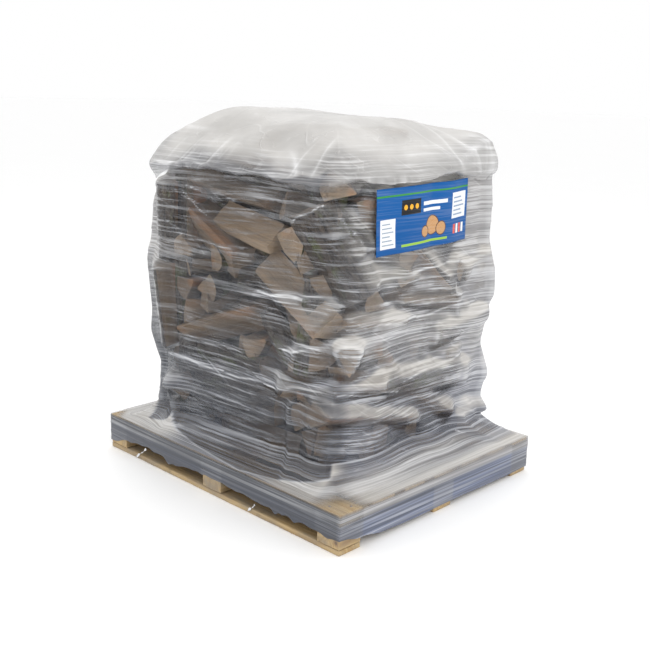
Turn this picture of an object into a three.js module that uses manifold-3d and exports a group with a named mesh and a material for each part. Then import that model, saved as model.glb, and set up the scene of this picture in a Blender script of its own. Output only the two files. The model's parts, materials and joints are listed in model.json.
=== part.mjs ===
// Pallet of split firewood, wrapped in stretch film.
// Millimetres, +Z up, X along the runners, origin at the centre of the pallet's underside.

import * as THREE from 'three';
import Module from 'manifold-3d';

const wasm = await Module();
wasm.setup();

// Pallet
const PALLET_LONG = 1200;
const PALLET_WIDE = 1000;
const BOARD_THICK = 18;
const BOARD_WIDE = 100;
const BLOCK_SIDE = 95;
const BLOCK_HIGH = 78;
const DECK_BOARDS = 7;
const BLOCK_TOP = BOARD_THICK + BLOCK_HIGH;
const CROSS_TOP = BLOCK_TOP + BOARD_THICK;
const DECK_TOP = CROSS_TOP + BOARD_THICK;

// Load: a rectangle with round corners, and a crown above its shoulder
const LOAD_HALF_X = 450;
const LOAD_HALF_Y = 400;
const LOAD_CORNER = 60;
const SHOULDER = 1105;
const CROWN_RISE = 157;
const CROWN_EDGE = 260;
const CROWN_HUMPS = [{ x: -230, y: -170, wide: 130, high: 28 }, { x: 440, y: 390, wide: 110, high: 90 }];
const GAP = 0.4;

// The heap's other logs, and the solid middle they lie against
const HEAP_FOOT = 190;
const HEAP_TIER = 96;
const HEAP_TIERS = 10;
const HEAP_TRIES = 40;
const HEAP_CLOSE = 0.165;
const HEAP_DRAW = 1.4;
const HEAP_LONG = [260, 400];
const HEAP_WIDE = [85, 130];
const HEAP_THICK = [85, 120];
const HEAP_DEEP = [4, 40];
const HEAP_LEAN = 30;
const HEAP_SWING = 12;
const END_ON = [75, 90];
const END_ON_SHARE = 0.3;
const ROUND_SHARE = 0.25;
const FOOT_DRAW = 40;
const CORNER_SPREAD = 60;
const TOP_TRIES = 160;
const TOP_CLEAR = 14;
const TOP_LONG = 330;
const TOP_WIDE = [95, 125];
const TOP_DEEP = [130, 450];
const TOP_SPREAD = 150;
const TOP_LEAN = 5;
const TAPER = [0.93, 0.98];
const END_SLANT = 0.08;
const TWIST = 3;
const CORE_INSET = 125;
const CORE_TOP = 1075;

// Film and sheets
const FILM_STEPS = 10;
const FILM_THICK = 2;
const FILM_CLEAR = 10;
const WRAP_FOOT = 205;
const WRAP_TOP = 1100;
const WRAP_LEVELS = 15;
const SKIRT_CLEAR = 1;
const SKIRT_SAG_AT = 0.45;
const SKIRT_SAG_HIGH = 26;
const COVER_CLEAR = 5.5;
const COVER_BULGE = 26;
const COVER_DROP = 5;
const COVER_RINGS = [0.35, 0.6, 0.8, 0.93];
const PRINT_WIDE = 475;
const PRINT_HIGH = 208;
const PRINT_CENTER_Y = 0;
const PRINT_CENTER_Z = 963;
const TAIL_WIDE = 14;

const FRONT = -90;
const RIGHT = 0;
const BACK = 90;
const LEFT = 180;
const NEAR_CORNER = -45;
const LEFT_CORNER = -135;
const RIGHT_CORNER = 45;

const BARE_PINE = 0xc9a877;
const WEATHERED_PINE = 0xb79a6c;
const SPLIT_WOOD = 0xa98b6a;
const PALE_WOOD = 0xc2ab8c;
const DARK_BARK = 0x4e4236;
const INNER_WOOD = 0x6d5c4a;
const FILM_GREY = 0xb9bcc2;
const SHEET_GREY = 0xd5d4d3;
const PRINT_BLUE = 0x1067b0;
const TAIL_WHITE = 0xf0f0f2;

// Split shapes: half the wedge's angle in degrees, and how much of its heart is missing.
const WEDGE = { half: 36, heart: 0.08 };
const BLUNT = { half: 30, heart: 0.4 };
const SLAB = { half: 20, heart: 0.62 };
const HALF_ROUND = { half: 88, heart: 0.05 };

// The logs that show best, one row each: the side they lie on, place along it, height of the middle,
// lean, swing of the far end out of the load, roll, length, width, thickness, how far the outer edge
// stands proud of the load's side, split shape and colour.
const LOG_ROWS = [
  [FRONT, -315, 803, 0, 80, 20, 330, 80, 84, 4, BLUNT, PALE_WOOD],
  [LEFT_CORNER, 0, 870, 84, 0, 10, 310, 110, 80, 2, HALF_ROUND, SPLIT_WOOD],
  [LEFT_CORNER, 10, 590, 78, 4, 0, 300, 125, 90, 14, WEDGE, SPLIT_WOOD],
  [FRONT, -165, 858, -25, 4, 205, 310, 150, 125, 2, WEDGE, SPLIT_WOOD],
  [FRONT, 5, 900, -7, 8, 150, 330, 90, 110, 6, BLUNT, PALE_WOOD],
  [FRONT, 249, 715, -27, 6, 155, 345, 120, 115, 24, WEDGE, PALE_WOOD],
  [FRONT, -113, 566, 20, 0, 195, 415, 115, 120, 8, WEDGE, SPLIT_WOOD],
  [FRONT, 165, 560, -48, 0, 20, 210, 80, 90, -30, WEDGE, SPLIT_WOOD],
  [FRONT, -14, 325, 4, 0, 8, 430, 145, 110, 2, SLAB, SPLIT_WOOD],
  [FRONT, 165, 192, 0, -5, 126, 440, 115, 120, -12, WEDGE, SPLIT_WOOD],
  [FRONT, -50, 446, 2, 0, 40, 330, 84, 95, -12, HALF_ROUND, SPLIT_WOOD],
  [FRONT, -322, 270, 8, 10, 170, 250, 120, 115, -14, WEDGE, SPLIT_WOOD],
  [FRONT, -90, 1020, -7, 0, 175, 420, 100, 110, -18, WEDGE, SPLIT_WOOD],
  [FRONT, 320, 497, 2, -28, 172, 200, 62, 90, -6, BLUNT, PALE_WOOD],
  [NEAR_CORNER, 44, 437, 2, 0, 170, 320, 62, 100, -84, WEDGE, SPLIT_WOOD],
  [NEAR_CORNER, 42, 868, -61, 0, 10, 310, 160, 120, -14, HALF_ROUND, DARK_BARK],
  [RIGHT, -202, 870, -35, 6, 8, 350, 125, 110, 4, HALF_ROUND, DARK_BARK],
  [RIGHT, -76, 772, 0, 84, 0, 320, 60, 105, 2, BLUNT, PALE_WOOD],
  [RIGHT, 92, 775, -43, 5, 185, 220, 66, 80, 6, WEDGE, PALE_WOOD],
  [RIGHT, -185, 635, -6, 0, 190, 290, 112, 112, -4, WEDGE, SPLIT_WOOD],
  [RIGHT, 78, 690, -7, 0, 172, 290, 60, 100, 2, BLUNT, SPLIT_WOOD],
  [NEAR_CORNER, 77, 545, 0, 84, 90, 240, 76, 100, 6, WEDGE, SPLIT_WOOD],
  [RIGHT, 90, 408, -6, 0, 12, 440, 88, 100, 2, SLAB, PALE_WOOD],
  [RIGHT, -180, 318, -12, 0, 182, 430, 92, 110, 2, WEDGE, SPLIT_WOOD],
  [RIGHT, 128, 306, -26, 12, 180, 200, 80, 90, 6, WEDGE, PALE_WOOD],
  [RIGHT, 262, 570, 9, 0, 0, 290, 108, 110, 6, HALF_ROUND, SPLIT_WOOD],
  [RIGHT_CORNER, 0, 875, 80, 0, 180, 410, 112, 100, 12, WEDGE, SPLIT_WOOD],
  [RIGHT_CORNER, 0, 400, -76, 0, 12, 300, 112, 100, 10, HALF_ROUND, SPLIT_WOOD],
  [BACK, 40, 640, 14, 0, 185, 430, 120, 115, 8, WEDGE, SPLIT_WOOD],
  [LEFT, -60, 520, -18, 0, 176, 430, 118, 115, 8, WEDGE, SPLIT_WOOD],
  [LEFT_CORNER, 0, 290, 12, 0, 184, 200, 110, 105, -24, WEDGE, SPLIT_WOOD],
];

// Heights of the film's torn lower hem above the floor, step by step round the pallet.
const RIGHT_HEM = [46, 34, 19, 16, 15, 17, 18, 16, 15, 14];
const BACK_HEM = [17, 40, 58, 66, 52, 61, 70, 47, 55, 38];
const LEFT_HEM = [20, 16, 15, 17, 18, 16, 15, 14, 22, 38];
const FRONT_HEM = [55, 63, 66, 50, 69, 66, 56, 48, 58, 38];
const HEMS = [...RIGHT_HEM, ...BACK_HEM, ...LEFT_HEM, ...FRONT_HEM];

// Heights of the cover sheet's hem, by the same steps.
const RIGHT_COVER = [1060, 1084, 1078, 1078, 1080, 1080, 1080, 1083, 1083, 1070];
const BACK_COVER = [1058, 1066, 1080, 1072, 1060, 1068, 1084, 1076, 1062, 1050];
const LEFT_COVER = [1056, 1070, 1078, 1064, 1072, 1082, 1074, 1060, 1068, 1076];
const FRONT_COVER = [1060, 1034, 1050, 1076, 1084, 1086, 1084, 1078, 1048, 1040];
const COVER_HEMS = [...RIGHT_COVER, ...BACK_COVER, ...LEFT_COVER, ...FRONT_COVER];

// Film tails on the front runner: where each starts under the hem, and where it ends.
const TAILS = [[[-376, 54], [-434, 6]], [[224, 40], [191, 6]]];

const UP = new THREE.Vector3(0, 0, 1);

// A fine log has three outlines and a round bark side, and a coarse one two and a bark side of two flats.
const FINE = { arc: 5, stations: [-1, 0, 1] };
const COARSE = { arc: 3, stations: [-1, 1] };

// A repeatable number between 0 and 1 for every whole number.
function chance(n) {
  const s = Math.sin(n * 12.9898) * 43758.5453;
  return s - Math.floor(s);
}

const between = ([low, high], share) => low + (high - low) * share;
const evenly = (half, share) => half * (2 * share - 1);

function material(color, roughness, opacity = 1) {
  return new THREE.MeshStandardMaterial({
    color, roughness, metalness: 0, opacity, transparent: opacity < 1,
  });
}

function geometryOf(points, triangles) {
  const geometry = new THREE.BufferGeometry();
  const flat = points.flatMap((p) => [p.x, p.y, p.z]);
  geometry.setAttribute('position', new THREE.Float32BufferAttribute(flat, 3));
  geometry.setIndex(triangles.flat());
  return geometry;
}

function meshOf(name, points, triangles, look) {
  const mesh = new THREE.Mesh(geometryOf(points, triangles), look);
  mesh.name = name;
  return mesh;
}

function manifoldOf(points, triangles) {
  return new wasm.Manifold(new wasm.Mesh({
    numProp: 3,
    vertProperties: Float32Array.from(points.flatMap((p) => [p.x, p.y, p.z])),
    triVerts: Uint32Array.from(triangles.flat()),
  }));
}

function meshOfManifold(name, solid, look) {
  const { vertProperties, triVerts } = solid.getMesh();
  const geometry = new THREE.BufferGeometry();
  geometry.setAttribute('position', new THREE.BufferAttribute(new Float32Array(vertProperties), 3));
  geometry.setIndex(Array.from(triVerts));
  const mesh = new THREE.Mesh(geometry, look);
  mesh.name = name;
  return mesh;
}

// The largest of the bodies that a cut leaves.
function largest(solid) {
  return solid.decompose().reduce((a, b) => (a.volume() > b.volume() ? a : b));
}

// A sawn board or block, a hair under its pitch so that neighbours don't touch.
function board(name, [x, y, bottom], [long, wide, high], look) {
  const mesh = new THREE.Mesh(new THREE.BoxGeometry(long, wide, high - GAP), look);
  mesh.name = name;
  mesh.position.set(x, y, bottom + (high - GAP) / 2);
  return mesh;
}

function pallet() {
  const group = new THREE.Group();
  const pine = material(BARE_PINE, 0.8);
  const aged = material(WEATHERED_PINE, 0.85);
  const rowsX = [-1, 0, 1].map((i) => (i * (PALLET_LONG - BLOCK_SIDE)) / 2);
  const rowsY = [-1, 0, 1].map((i) => (i * (PALLET_WIDE - BLOCK_SIDE)) / 2);
  rowsY.forEach((y, j) => {
    group.add(board(`runner_${j + 1}`, [0, y, 0], [PALLET_LONG, BLOCK_SIDE, BOARD_THICK], aged));
    rowsX.forEach((x, i) => {
      const size = [BLOCK_SIDE, BLOCK_SIDE, BLOCK_HIGH];
      group.add(board(`block_${j + 1}_${i + 1}`, [x, y, BOARD_THICK], size, aged));
    });
  });
  rowsX.forEach((x, i) => {
    group.add(board(`cross_board_${i + 1}`, [x, 0, BLOCK_TOP], [BLOCK_SIDE, PALLET_WIDE, BOARD_THICK], pine));
  });
  const pitch = (PALLET_WIDE - BOARD_WIDE) / (DECK_BOARDS - 1);
  for (let k = 0; k < DECK_BOARDS; k++) {
    const y = (k - (DECK_BOARDS - 1) / 2) * pitch;
    group.add(board(`deck_board_${k + 1}`, [0, y, CROSS_TOP], [PALLET_LONG, BOARD_WIDE, BOARD_THICK], pine));
  }
  return group;
}

// How far the load's side reaches from the centre line, in a direction: a rectangle with round corners.
function sideReach(angle) {
  const straightX = (LOAD_HALF_X - LOAD_CORNER) * Math.abs(Math.cos(angle));
  const straightY = (LOAD_HALF_Y - LOAD_CORNER) * Math.abs(Math.sin(angle));
  return straightX + straightY + LOAD_CORNER;
}

// How far a point lies outside that outline, less than zero inside it.
function outsideBy(p) {
  const x = Math.abs(p.x) - (LOAD_HALF_X - LOAD_CORNER);
  const y = Math.abs(p.y) - (LOAD_HALF_Y - LOAD_CORNER);
  return Math.hypot(Math.max(x, 0), Math.max(y, 0)) + Math.min(Math.max(x, y), 0) - LOAD_CORNER;
}

// The outline across a split log: a slice of a round with its heart edge cut back, scaled to its box.
function splitOutline(cut, wide, thick, arc) {
  const half = THREE.MathUtils.degToRad(cut.half);
  const polar = [[cut.heart, -half]];
  for (let i = 0; i < arc; i++) {
    polar.push([1, half * ((2 * i) / (arc - 1) - 1)]);
  }
  polar.push([cut.heart, half]);
  const raw = polar.map(([r, a]) => [r * Math.sin(a), r * Math.cos(a)]);
  const span = Math.max(...raw.map((p) => p[0]));
  const low = Math.min(...raw.map((p) => p[1]));
  const high = Math.max(...raw.map((p) => p[1]));
  return raw.map(([a, b]) => [(a / span) * (wide / 2), ((b - low) / (high - low) - 0.5) * thick]);
}

// Points of a log: outlines from end to end, the middle one fuller, each turned a little.
function logPoints(row, seed, detail, grow = 0) {
  const [face, along, up, lean, swing, roll, long, wide, thick, proud, cut] = row;
  const turn = THREE.MathUtils.degToRad;
  const side = turn(face);
  const out = new THREE.Vector3(Math.cos(side), Math.sin(side), 0);
  const beside = new THREE.Vector3(-Math.sin(side), Math.cos(side), 0);
  const axis = beside.clone().multiplyScalar(Math.cos(turn(lean))).addScaledVector(UP, Math.sin(turn(lean)));
  axis.multiplyScalar(Math.cos(turn(swing))).addScaledVector(out, Math.sin(turn(swing)));
  const outward = out.clone().addScaledVector(axis, -out.dot(axis)).normalize();
  const across = new THREE.Vector3().crossVectors(axis, outward);
  const points = [];
  detail.stations.forEach((t, ring) => {
    const full = t === 0 ? 1 : between(TAPER, chance(seed * 3 + ring));
    const twist = turn(roll + t * evenly(TWIST, chance(seed * 5)));
    splitOutline(cut, wide * full + 2 * grow, thick * full + 2 * grow, detail.arc).forEach(([a, b]) => {
      const slant = evenly(END_SLANT, chance(seed * 7 + ring)) * a;
      const aa = a * Math.cos(twist) - b * Math.sin(twist);
      const bb = a * Math.sin(twist) + b * Math.cos(twist);
      points.push(new THREE.Vector3().addScaledVector(axis, t * (long / 2 + grow) + slant * Math.abs(t))
        .addScaledVector(across, aa).addScaledVector(outward, bb));
    });
  });
  const reach = sideReach(side) + proud + grow;
  const depth = reach - Math.max(...points.map((p) => p.dot(out)));
  const lift = Math.max(up, DECK_TOP + GAP - grow - Math.min(...points.map((p) => p.z)));
  points.forEach((p) => p.addScaledVector(out, depth).addScaledVector(beside, along).addScaledVector(UP, lift));
  return points;
}

// Triangles of a closed bar through rings of the same count.
function barTriangles(count, rings) {
  const triangles = [];
  for (let r = 0; r < rings - 1; r++) {
    for (let i = 0; i < count; i++) {
      const j = (i + 1) % count;
      const a = r * count;
      const b = a + count;
      triangles.push([a + i, b + j, b + i], [a + i, a + j, b + j]);
    }
  }
  const last = (rings - 1) * count;
  for (let i = 1; i < count - 1; i++) {
    triangles.push([0, i + 1, i], [last, last + i, last + i + 1]);
  }
  return triangles;
}

function logSolid(row, seed, detail, grow = 0) {
  const triangles = barTriangles(detail.arc + 2, detail.stations.length);
  return manifoldOf(logPoints(row, seed, detail, grow), triangles);
}

// The logs that show best. Each is cut back from those laid before it, so that none run together.
function shownLogs() {
  const logs = [];
  LOG_ROWS.forEach((row, i) => {
    let solid = logSolid(row, i + 1, FINE);
    logs.forEach((other) => {
      solid = solid.subtract(other.grown);
    });
    const points = logPoints(row, i + 1, FINE);
    const grown = logSolid(row, i + 1, FINE, GAP);
    logs.push({ row, seed: i + 1, points, count: FINE.arc + 2, solid: largest(solid), grown });
  });
  return logs;
}

// Six points down the middle of a log.
function middleLine(points, count) {
  const [start, end] = [points.slice(0, count), points.slice(-count)].map(
    (ring) => ring.reduce((sum, p) => sum.add(p), new THREE.Vector3()).divideScalar(count),
  );
  return [0, 0.2, 0.4, 0.6, 0.8, 1].map((t) => start.clone().lerp(end, t));
}

// Height of the load's top: a crown that falls to the shoulder, highest to the front left.
function crownHeight(x, y) {
  const edge = 1 - THREE.MathUtils.clamp(-outsideBy({ x, y }) / CROWN_EDGE, 0, 1);
  const humps = CROWN_HUMPS.map((h) => h.high * Math.exp(-((x - h.x) ** 2 + (y - h.y) ** 2) / (2 * h.wide ** 2)));
  return humps.reduce((sum, high) => sum + high, SHOULDER + CROWN_RISE * (1 - edge ** 2));
}

// The rest of the heap: trial logs tier by tier round the load, and then across its top, each kept
// where its middle line clears those of the logs already laid.
function heapLogs(shown) {
  const count = COARSE.arc + 2;
  const laid = shown.map(({ row, seed }) => (
    { line: middleLine(logPoints(row, seed, COARSE), count), size: row[7] + row[8] }
  ));
  const heap = [];
  const tryLog = (trial, seed) => {
    const placed = logPoints(trial, seed, COARSE);
    const over = Math.max(0, ...placed.map((p) => p.z + TOP_CLEAR - crownHeight(p.x, p.y)));
    const past = Math.max(0, ...placed.map(outsideBy));
    const row = trial.with(2, trial[2] - over).with(9, trial[9] - HEAP_DRAW * past);
    const points = logPoints(row, seed, COARSE);
    const line = middleLine(points, count);
    const size = row[7] + row[8];
    const clear = laid.every((other) => line.every((p) => other.line.every(
      (q) => p.distanceTo(q) > HEAP_CLOSE * (size + other.size),
    )));
    if (clear) {
      laid.push({ line, size });
      heap.push({ solid: logSolid(row, seed, COARSE), points, count });
    }
  };
  let seed = 100;
  for (let tier = 0; tier < HEAP_TIERS; tier++) {
    for (let k = 0; k < 8 * HEAP_TRIES; k++) {
      seed += 1;
      const c = (n) => chance(seed * 11 + n);
      const face = (k % 8) * 45;
      const lean = evenly(HEAP_LEAN, c(3));
      const swing = c(0) < END_ON_SHARE ? between(END_ON, c(4)) : evenly(HEAP_SWING, c(4));
      const long = between(HEAP_LONG, c(6));
      const flat = (long / 2) * Math.cos(THREE.MathUtils.degToRad(swing));
      const half = face % 180 ? LOAD_HALF_X : LOAD_HALF_Y;
      const spread = face % 90 ? CORNER_SPREAD : half - 40 - flat;
      const up = HEAP_FOOT + tier * HEAP_TIER + evenly(20, c(2));
      const proud = -between(HEAP_DEEP, c(9)) - Math.max(0, FOOT_DRAW * (1 - tier / 2));
      const cut = c(10) < ROUND_SHARE ? HALF_ROUND : WEDGE;
      tryLog([
        face, evenly(spread, c(1)), up, lean, swing, 360 * c(5), long, between(HEAP_WIDE, c(7)),
        between(HEAP_THICK, c(8)), proud, cut,
      ], seed);
    }
  }
  for (let k = 0; k < TOP_TRIES; k++) {
    seed += 1;
    const c = (n) => chance(seed * 11 + n);
    const [face, deep, wide] = [360 * c(0), between(TOP_DEEP, c(2)), between(TOP_WIDE, c(3))];
    const turn = THREE.MathUtils.degToRad(face);
    const middle = sideReach(turn) - deep - wide / 2;
    const height = crownHeight(middle * Math.cos(turn), middle * Math.sin(turn)) - wide / 2;
    tryLog([
      face, evenly(TOP_SPREAD, c(1)), height, evenly(TOP_LEAN, c(4)), 0, 360 * c(5), TOP_LONG, wide, wide,
      -deep, WEDGE,
    ], seed);
  }
  return heap;
}

// The hidden middle of the heap, a block with cut corners that the outer logs lean on.
function coreSolid() {
  const x = LOAD_HALF_X - CORE_INSET;
  const y = LOAD_HALF_Y - CORE_INSET;
  const cut = CORE_INSET;
  const outline = [[x, cut - y], [x, y - cut], [x - cut, y], [cut - x, y], [-x, y - cut], [-x, cut - y],
    [cut - x, -y], [x - cut, -y]];
  const ring = (z) => outline.map(([a, b]) => new THREE.Vector3(a, b, z));
  return manifoldOf([...ring(DECK_TOP + GAP), ...ring(CORE_TOP)], barTriangles(outline.length, 2));
}

// All the logs that have no node of their own, joined with the middle they lie on.
function innerLogs(shown, heap) {
  let pile = coreSolid();
  heap.forEach((log) => {
    pile = pile.add(log.solid);
  });
  shown.forEach((log) => {
    pile = pile.subtract(log.grown);
  });
  return largest(pile);
}

// Points round the pallet's edge, pushed out by a distance, anticlockwise from the near corner.
function edgePoints(out) {
  const x = PALLET_LONG / 2 + out;
  const y = PALLET_WIDE / 2 + out;
  const corners = [[x, -y], [x, y], [-x, y], [-x, -y]];
  return corners.flatMap(([ax, ay], side) => {
    const [bx, by] = corners[(side + 1) % 4];
    return Array.from({ length: FILM_STEPS }, (_, k) => {
      const t = k / FILM_STEPS;
      return new THREE.Vector2(ax + (bx - ax) * t, ay + (by - ay) * t);
    });
  });
}

// Points spread along the edges of every log, which the film has to clear.
function touchPoints(logs) {
  return logs.flatMap(({ points, count }) => {
    const spread = [];
    for (let i = 0; i < points.length - count; i++) {
      for (let t = 0; t <= 1; t += 0.0625) {
        spread.push(points[i].clone().lerp(points[i + count], t));
      }
    }
    return spread;
  });
}

// Convex outline of points seen from above, anticlockwise.
function convexOutline(points) {
  const turnOf = (a, b, c) => (b.x - a.x) * (c.y - a.y) - (b.y - a.y) * (c.x - a.x);
  const half = (list) => {
    const hull = [];
    list.forEach((p) => {
      while (hull.length > 1 && turnOf(hull.at(-2), hull.at(-1), p) <= 0) hull.pop();
      hull.push(p);
    });
    hull.pop();
    return hull;
  };
  const sorted = [...points].sort((a, b) => a.x - b.x || a.y - b.y);
  return [...half(sorted), ...half(sorted.reverse())];
}

// A taut wrap round the points: where each ray leaves their convex outline. The outline's own corners,
// the sharpest first, move the nearest free ray's point on to them, and a corner that finds none free
// pushes its neighbours out until the straight line between them clears it.
function tautRing(points, rays) {
  const count = rays.length;
  const hull = convexOutline(points);
  const cross = (a, b) => a.x * b.y - a.y * b.x;
  const ring = rays.map((ray) => ray.clone().multiplyScalar(Math.min(...hull.map((a, i) => {
    const along = hull[(i + 1) % hull.length].clone().sub(a);
    return cross(ray, along) > 0 ? cross(a, along) / cross(ray, along) : Infinity;
  }))));
  const corners = hull.map((p, i) => {
    const chord = hull[(i + 1) % hull.length].clone().sub(hull.at(i - 1));
    return { p, sharp: cross(p.clone().sub(hull.at(i - 1)), chord) / chord.length() };
  }).sort((a, b) => b.sharp - a.sharp);
  const taken = new Set();
  corners.forEach(({ p }) => {
    const near = rays.reduce((best, ray, i) => (ray.dot(p) > rays[best].dot(p) ? i : best), 0);
    const beside = (near + (cross(ring[near], p) > 0 ? 1 : count - 1)) % count;
    const spot = taken.has(near) ? beside : near;
    if (!taken.has(spot)) {
      taken.add(spot);
      ring[spot].copy(p);
    }
  });
  corners.forEach(({ p }) => {
    const i = ring.findIndex((a, k) => {
      const b = ring[(k + 1) % count];
      return cross(a, p) >= 0 && cross(p, b) > 0 && a.dot(p) > 0;
    });
    const j = (i + 1) % count;
    const along = ring[j].clone().sub(ring[i]);
    const short = cross(p, along) / cross(ring[i], along);
    if (short > 1) {
      ring[i].multiplyScalar(short);
      ring[j].multiplyScalar(short);
    }
  });
  return ring;
}

// A thin closed skin between an outer and an inner set of rings, both from the top down. Each cell is
// split along the diagonal that lies farther out.
function skinMesh(name, outer, inner, look, closedTop = false) {
  const count = outer[0].length;
  const rings = outer.length;
  const points = [...outer.flat(), ...inner.flat()];
  const base = rings * count;
  const triangles = [];
  const far = (p, q) => Math.hypot(points[p].x + points[q].x, points[p].y + points[q].y);
  const quad = (a, b, c, d) => {
    triangles.push(...(far(a, c) >= far(b, d) ? [[a, b, c], [a, c, d]] : [[b, c, d], [b, d, a]]));
  };
  for (let i = 0; i < count; i++) {
    const j = (i + 1) % count;
    for (let r = 0; r < rings - 1; r++) {
      const [a, b] = [r * count, (r + 1) * count];
      quad(a + j, a + i, b + i, b + j);
      quad(base + a + i, base + a + j, base + b + j, base + b + i);
    }
    const end = (rings - 1) * count;
    quad(end + j, end + i, base + end + i, base + end + j);
    if (closedTop) {
      triangles.push([points.length, i, j], [points.length + 1, base + j, base + i]);
    } else {
      quad(i, j, base + j, base + i);
    }
  }
  if (closedTop) {
    [outer[0], inner[0]].forEach((ring) => {
      points.push(ring.reduce((sum, p) => sum.add(p), new THREE.Vector3()).divideScalar(count));
    });
  }
  return meshOf(name, points, triangles, look);
}

const raised = (flat, z) => new THREE.Vector3(flat.x, flat.y, z);

// Stretch film wound round the logs, level by level.
function wrapLevels(touch) {
  const rays = edgePoints(0).map((p) => p.normalize());
  const pitch = (WRAP_TOP - WRAP_FOOT) / (WRAP_LEVELS - 1);
  return Array.from({ length: WRAP_LEVELS }, (_, k) => {
    const z = WRAP_TOP - k * pitch;
    const lowest = k === WRAP_LEVELS - 1 ? 0 : z - pitch;
    const highest = k === 0 ? SHOULDER + CROWN_RISE : z + pitch;
    const near = touch.filter((p) => p.z >= lowest && p.z <= highest);
    const taut = tautRing(near, rays);
    const ring = (out) => taut.map((p) => raised(p.clone().setLength(p.length() + out), z));
    return { inner: ring(FILM_CLEAR), outer: ring(FILM_CLEAR + FILM_THICK) };
  });
}

// The film's lower turns: from the foot of the wrap they sag out to the deck's edge and go down
// over the pallet's sides to a torn hem.
function skirt(foot) {
  const sag = (top, edge, t) => top.clone().lerp(edge, t);
  const rings = (start, out, lift) => {
    const edge = edgePoints(out).map((p) => raised(p, DECK_TOP + lift));
    const top = start.map((p) => raised(p, WRAP_FOOT - GAP));
    const middle = top.map((p, i) => sag(p, edge[i], SKIRT_SAG_AT).setZ(DECK_TOP + lift + SKIRT_SAG_HIGH));
    const wall = edge.map((p, i) => raised(p, (DECK_TOP + HEMS[i]) / 2));
    const hem = edge.map((p, i) => raised(p, HEMS[i]));
    return [top, middle, edge, wall, hem];
  };
  const outer = rings(foot.outer, SKIRT_CLEAR + FILM_THICK, SKIRT_CLEAR + FILM_THICK + 1);
  return skinMesh('film_skirt', outer, rings(foot.inner, SKIRT_CLEAR, SKIRT_CLEAR), material(FILM_GREY, 0.3, 0.5));
}

// Cover sheet: over the crown, out past the wrap at the shoulder and tucked in to its hem.
function coverSheet(levels) {
  const layer = (out, lift) => {
    const flat = levels.slice(0, 2).map((level) => level.outer.map((p) => new THREE.Vector2(p.x, p.y)));
    const shoulder = flat[0].map((p, i) => (p.length() > flat[1][i].length() ? p : flat[1][i]));
    const push = (p, more) => p.clone().multiplyScalar(1 + (more + out) / p.length());
    const crown = COVER_RINGS.map((s) => shoulder.map((p) => {
      const at = p.clone().multiplyScalar(s);
      return raised(at, crownHeight(at.x, at.y) + lift);
    }));
    return [
      ...crown,
      shoulder.map((p) => raised(push(p, COVER_BULGE / 2), crownHeight(p.x * 0.95, p.y * 0.95) + lift)),
      shoulder.map((p) => raised(push(p, COVER_BULGE), SHOULDER - COVER_DROP)),
      shoulder.map((p, i) => raised(push(p, COVER_CLEAR), COVER_HEMS[i])),
    ];
  };
  return skinMesh('cover_sheet', layer(FILM_THICK, FILM_THICK), layer(0, 0), material(SHEET_GREY, 0.5), true);
}

// Printed sheet: a thin plate that follows the wrap on the right side.
function printedSheet(levels) {
  const [columns, rows] = [5, 4];
  const cellY = PRINT_WIDE / (columns - 1);
  const cellZ = PRINT_HIGH / (rows - 1);
  const film = levels.flatMap((level) => level.outer).filter((p) => p.x > 0);
  const reach = (y, z) => Math.max(...film.filter(
    (p) => Math.abs(p.y - y) < cellY + 60 && Math.abs(p.z - z) < cellZ + 30,
  ).map((p) => p.x));
  const layer = (out) => Array.from({ length: rows }, (_, r) => Array.from({ length: columns }, (__, c) => {
    const y = PRINT_CENTER_Y + (c - (columns - 1) / 2) * cellY;
    const z = PRINT_CENTER_Z + ((rows - 1) / 2 - r) * cellZ;
    return new THREE.Vector3(reach(y, z) + out, y, z);
  })).flat();
  const points = [...layer(GAP + 1), ...layer(GAP)];
  const back = rows * columns;
  const triangles = [];
  const quad = (a, b, c, d) => triangles.push([a, b, c], [a, c, d]);
  for (let r = 0; r < rows - 1; r++) {
    for (let c = 0; c < columns - 1; c++) {
      const a = r * columns + c;
      quad(a, a + columns, a + columns + 1, a + 1);
      quad(back + a, back + a + 1, back + a + columns + 1, back + a + columns);
    }
  }
  const last = (rows - 1) * columns;
  const rim = [
    ...Array.from({ length: columns - 1 }, (_, c) => c + 1).map((c) => [c, c - 1]),
    ...Array.from({ length: rows - 1 }, (_, r) => [r * columns, (r + 1) * columns]),
    ...Array.from({ length: columns - 1 }, (_, c) => [last + c, last + c + 1]),
    ...Array.from({ length: rows - 1 }, (_, r) => [(r + 2) * columns - 1, (r + 1) * columns - 1]),
  ];
  rim.forEach(([a, b]) => quad(b, a, back + a, back + b));
  return meshOf('printed_sheet', points, triangles, material(PRINT_BLUE, 0.45));
}

// A twisted tail of film on the front runner, a flat strip between two points of the pallet's side.
function filmTail(name, [[x0, z0], [x1, z1]]) {
  const long = Math.hypot(x1 - x0, z1 - z0);
  const mesh = new THREE.Mesh(new THREE.BoxGeometry(long, FILM_THICK, TAIL_WIDE), material(TAIL_WHITE, 0.4));
  mesh.name = name;
  mesh.rotation.y = -Math.atan2(z1 - z0, x1 - x0);
  mesh.position.set((x0 + x1) / 2, -PALLET_WIDE / 2 - GAP - FILM_THICK / 2, (z0 + z1) / 2);
  return mesh;
}

const shown = shownLogs();
const heap = heapLogs(shown);
const levels = wrapLevels(touchPoints([...shown, ...heap]));

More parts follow.
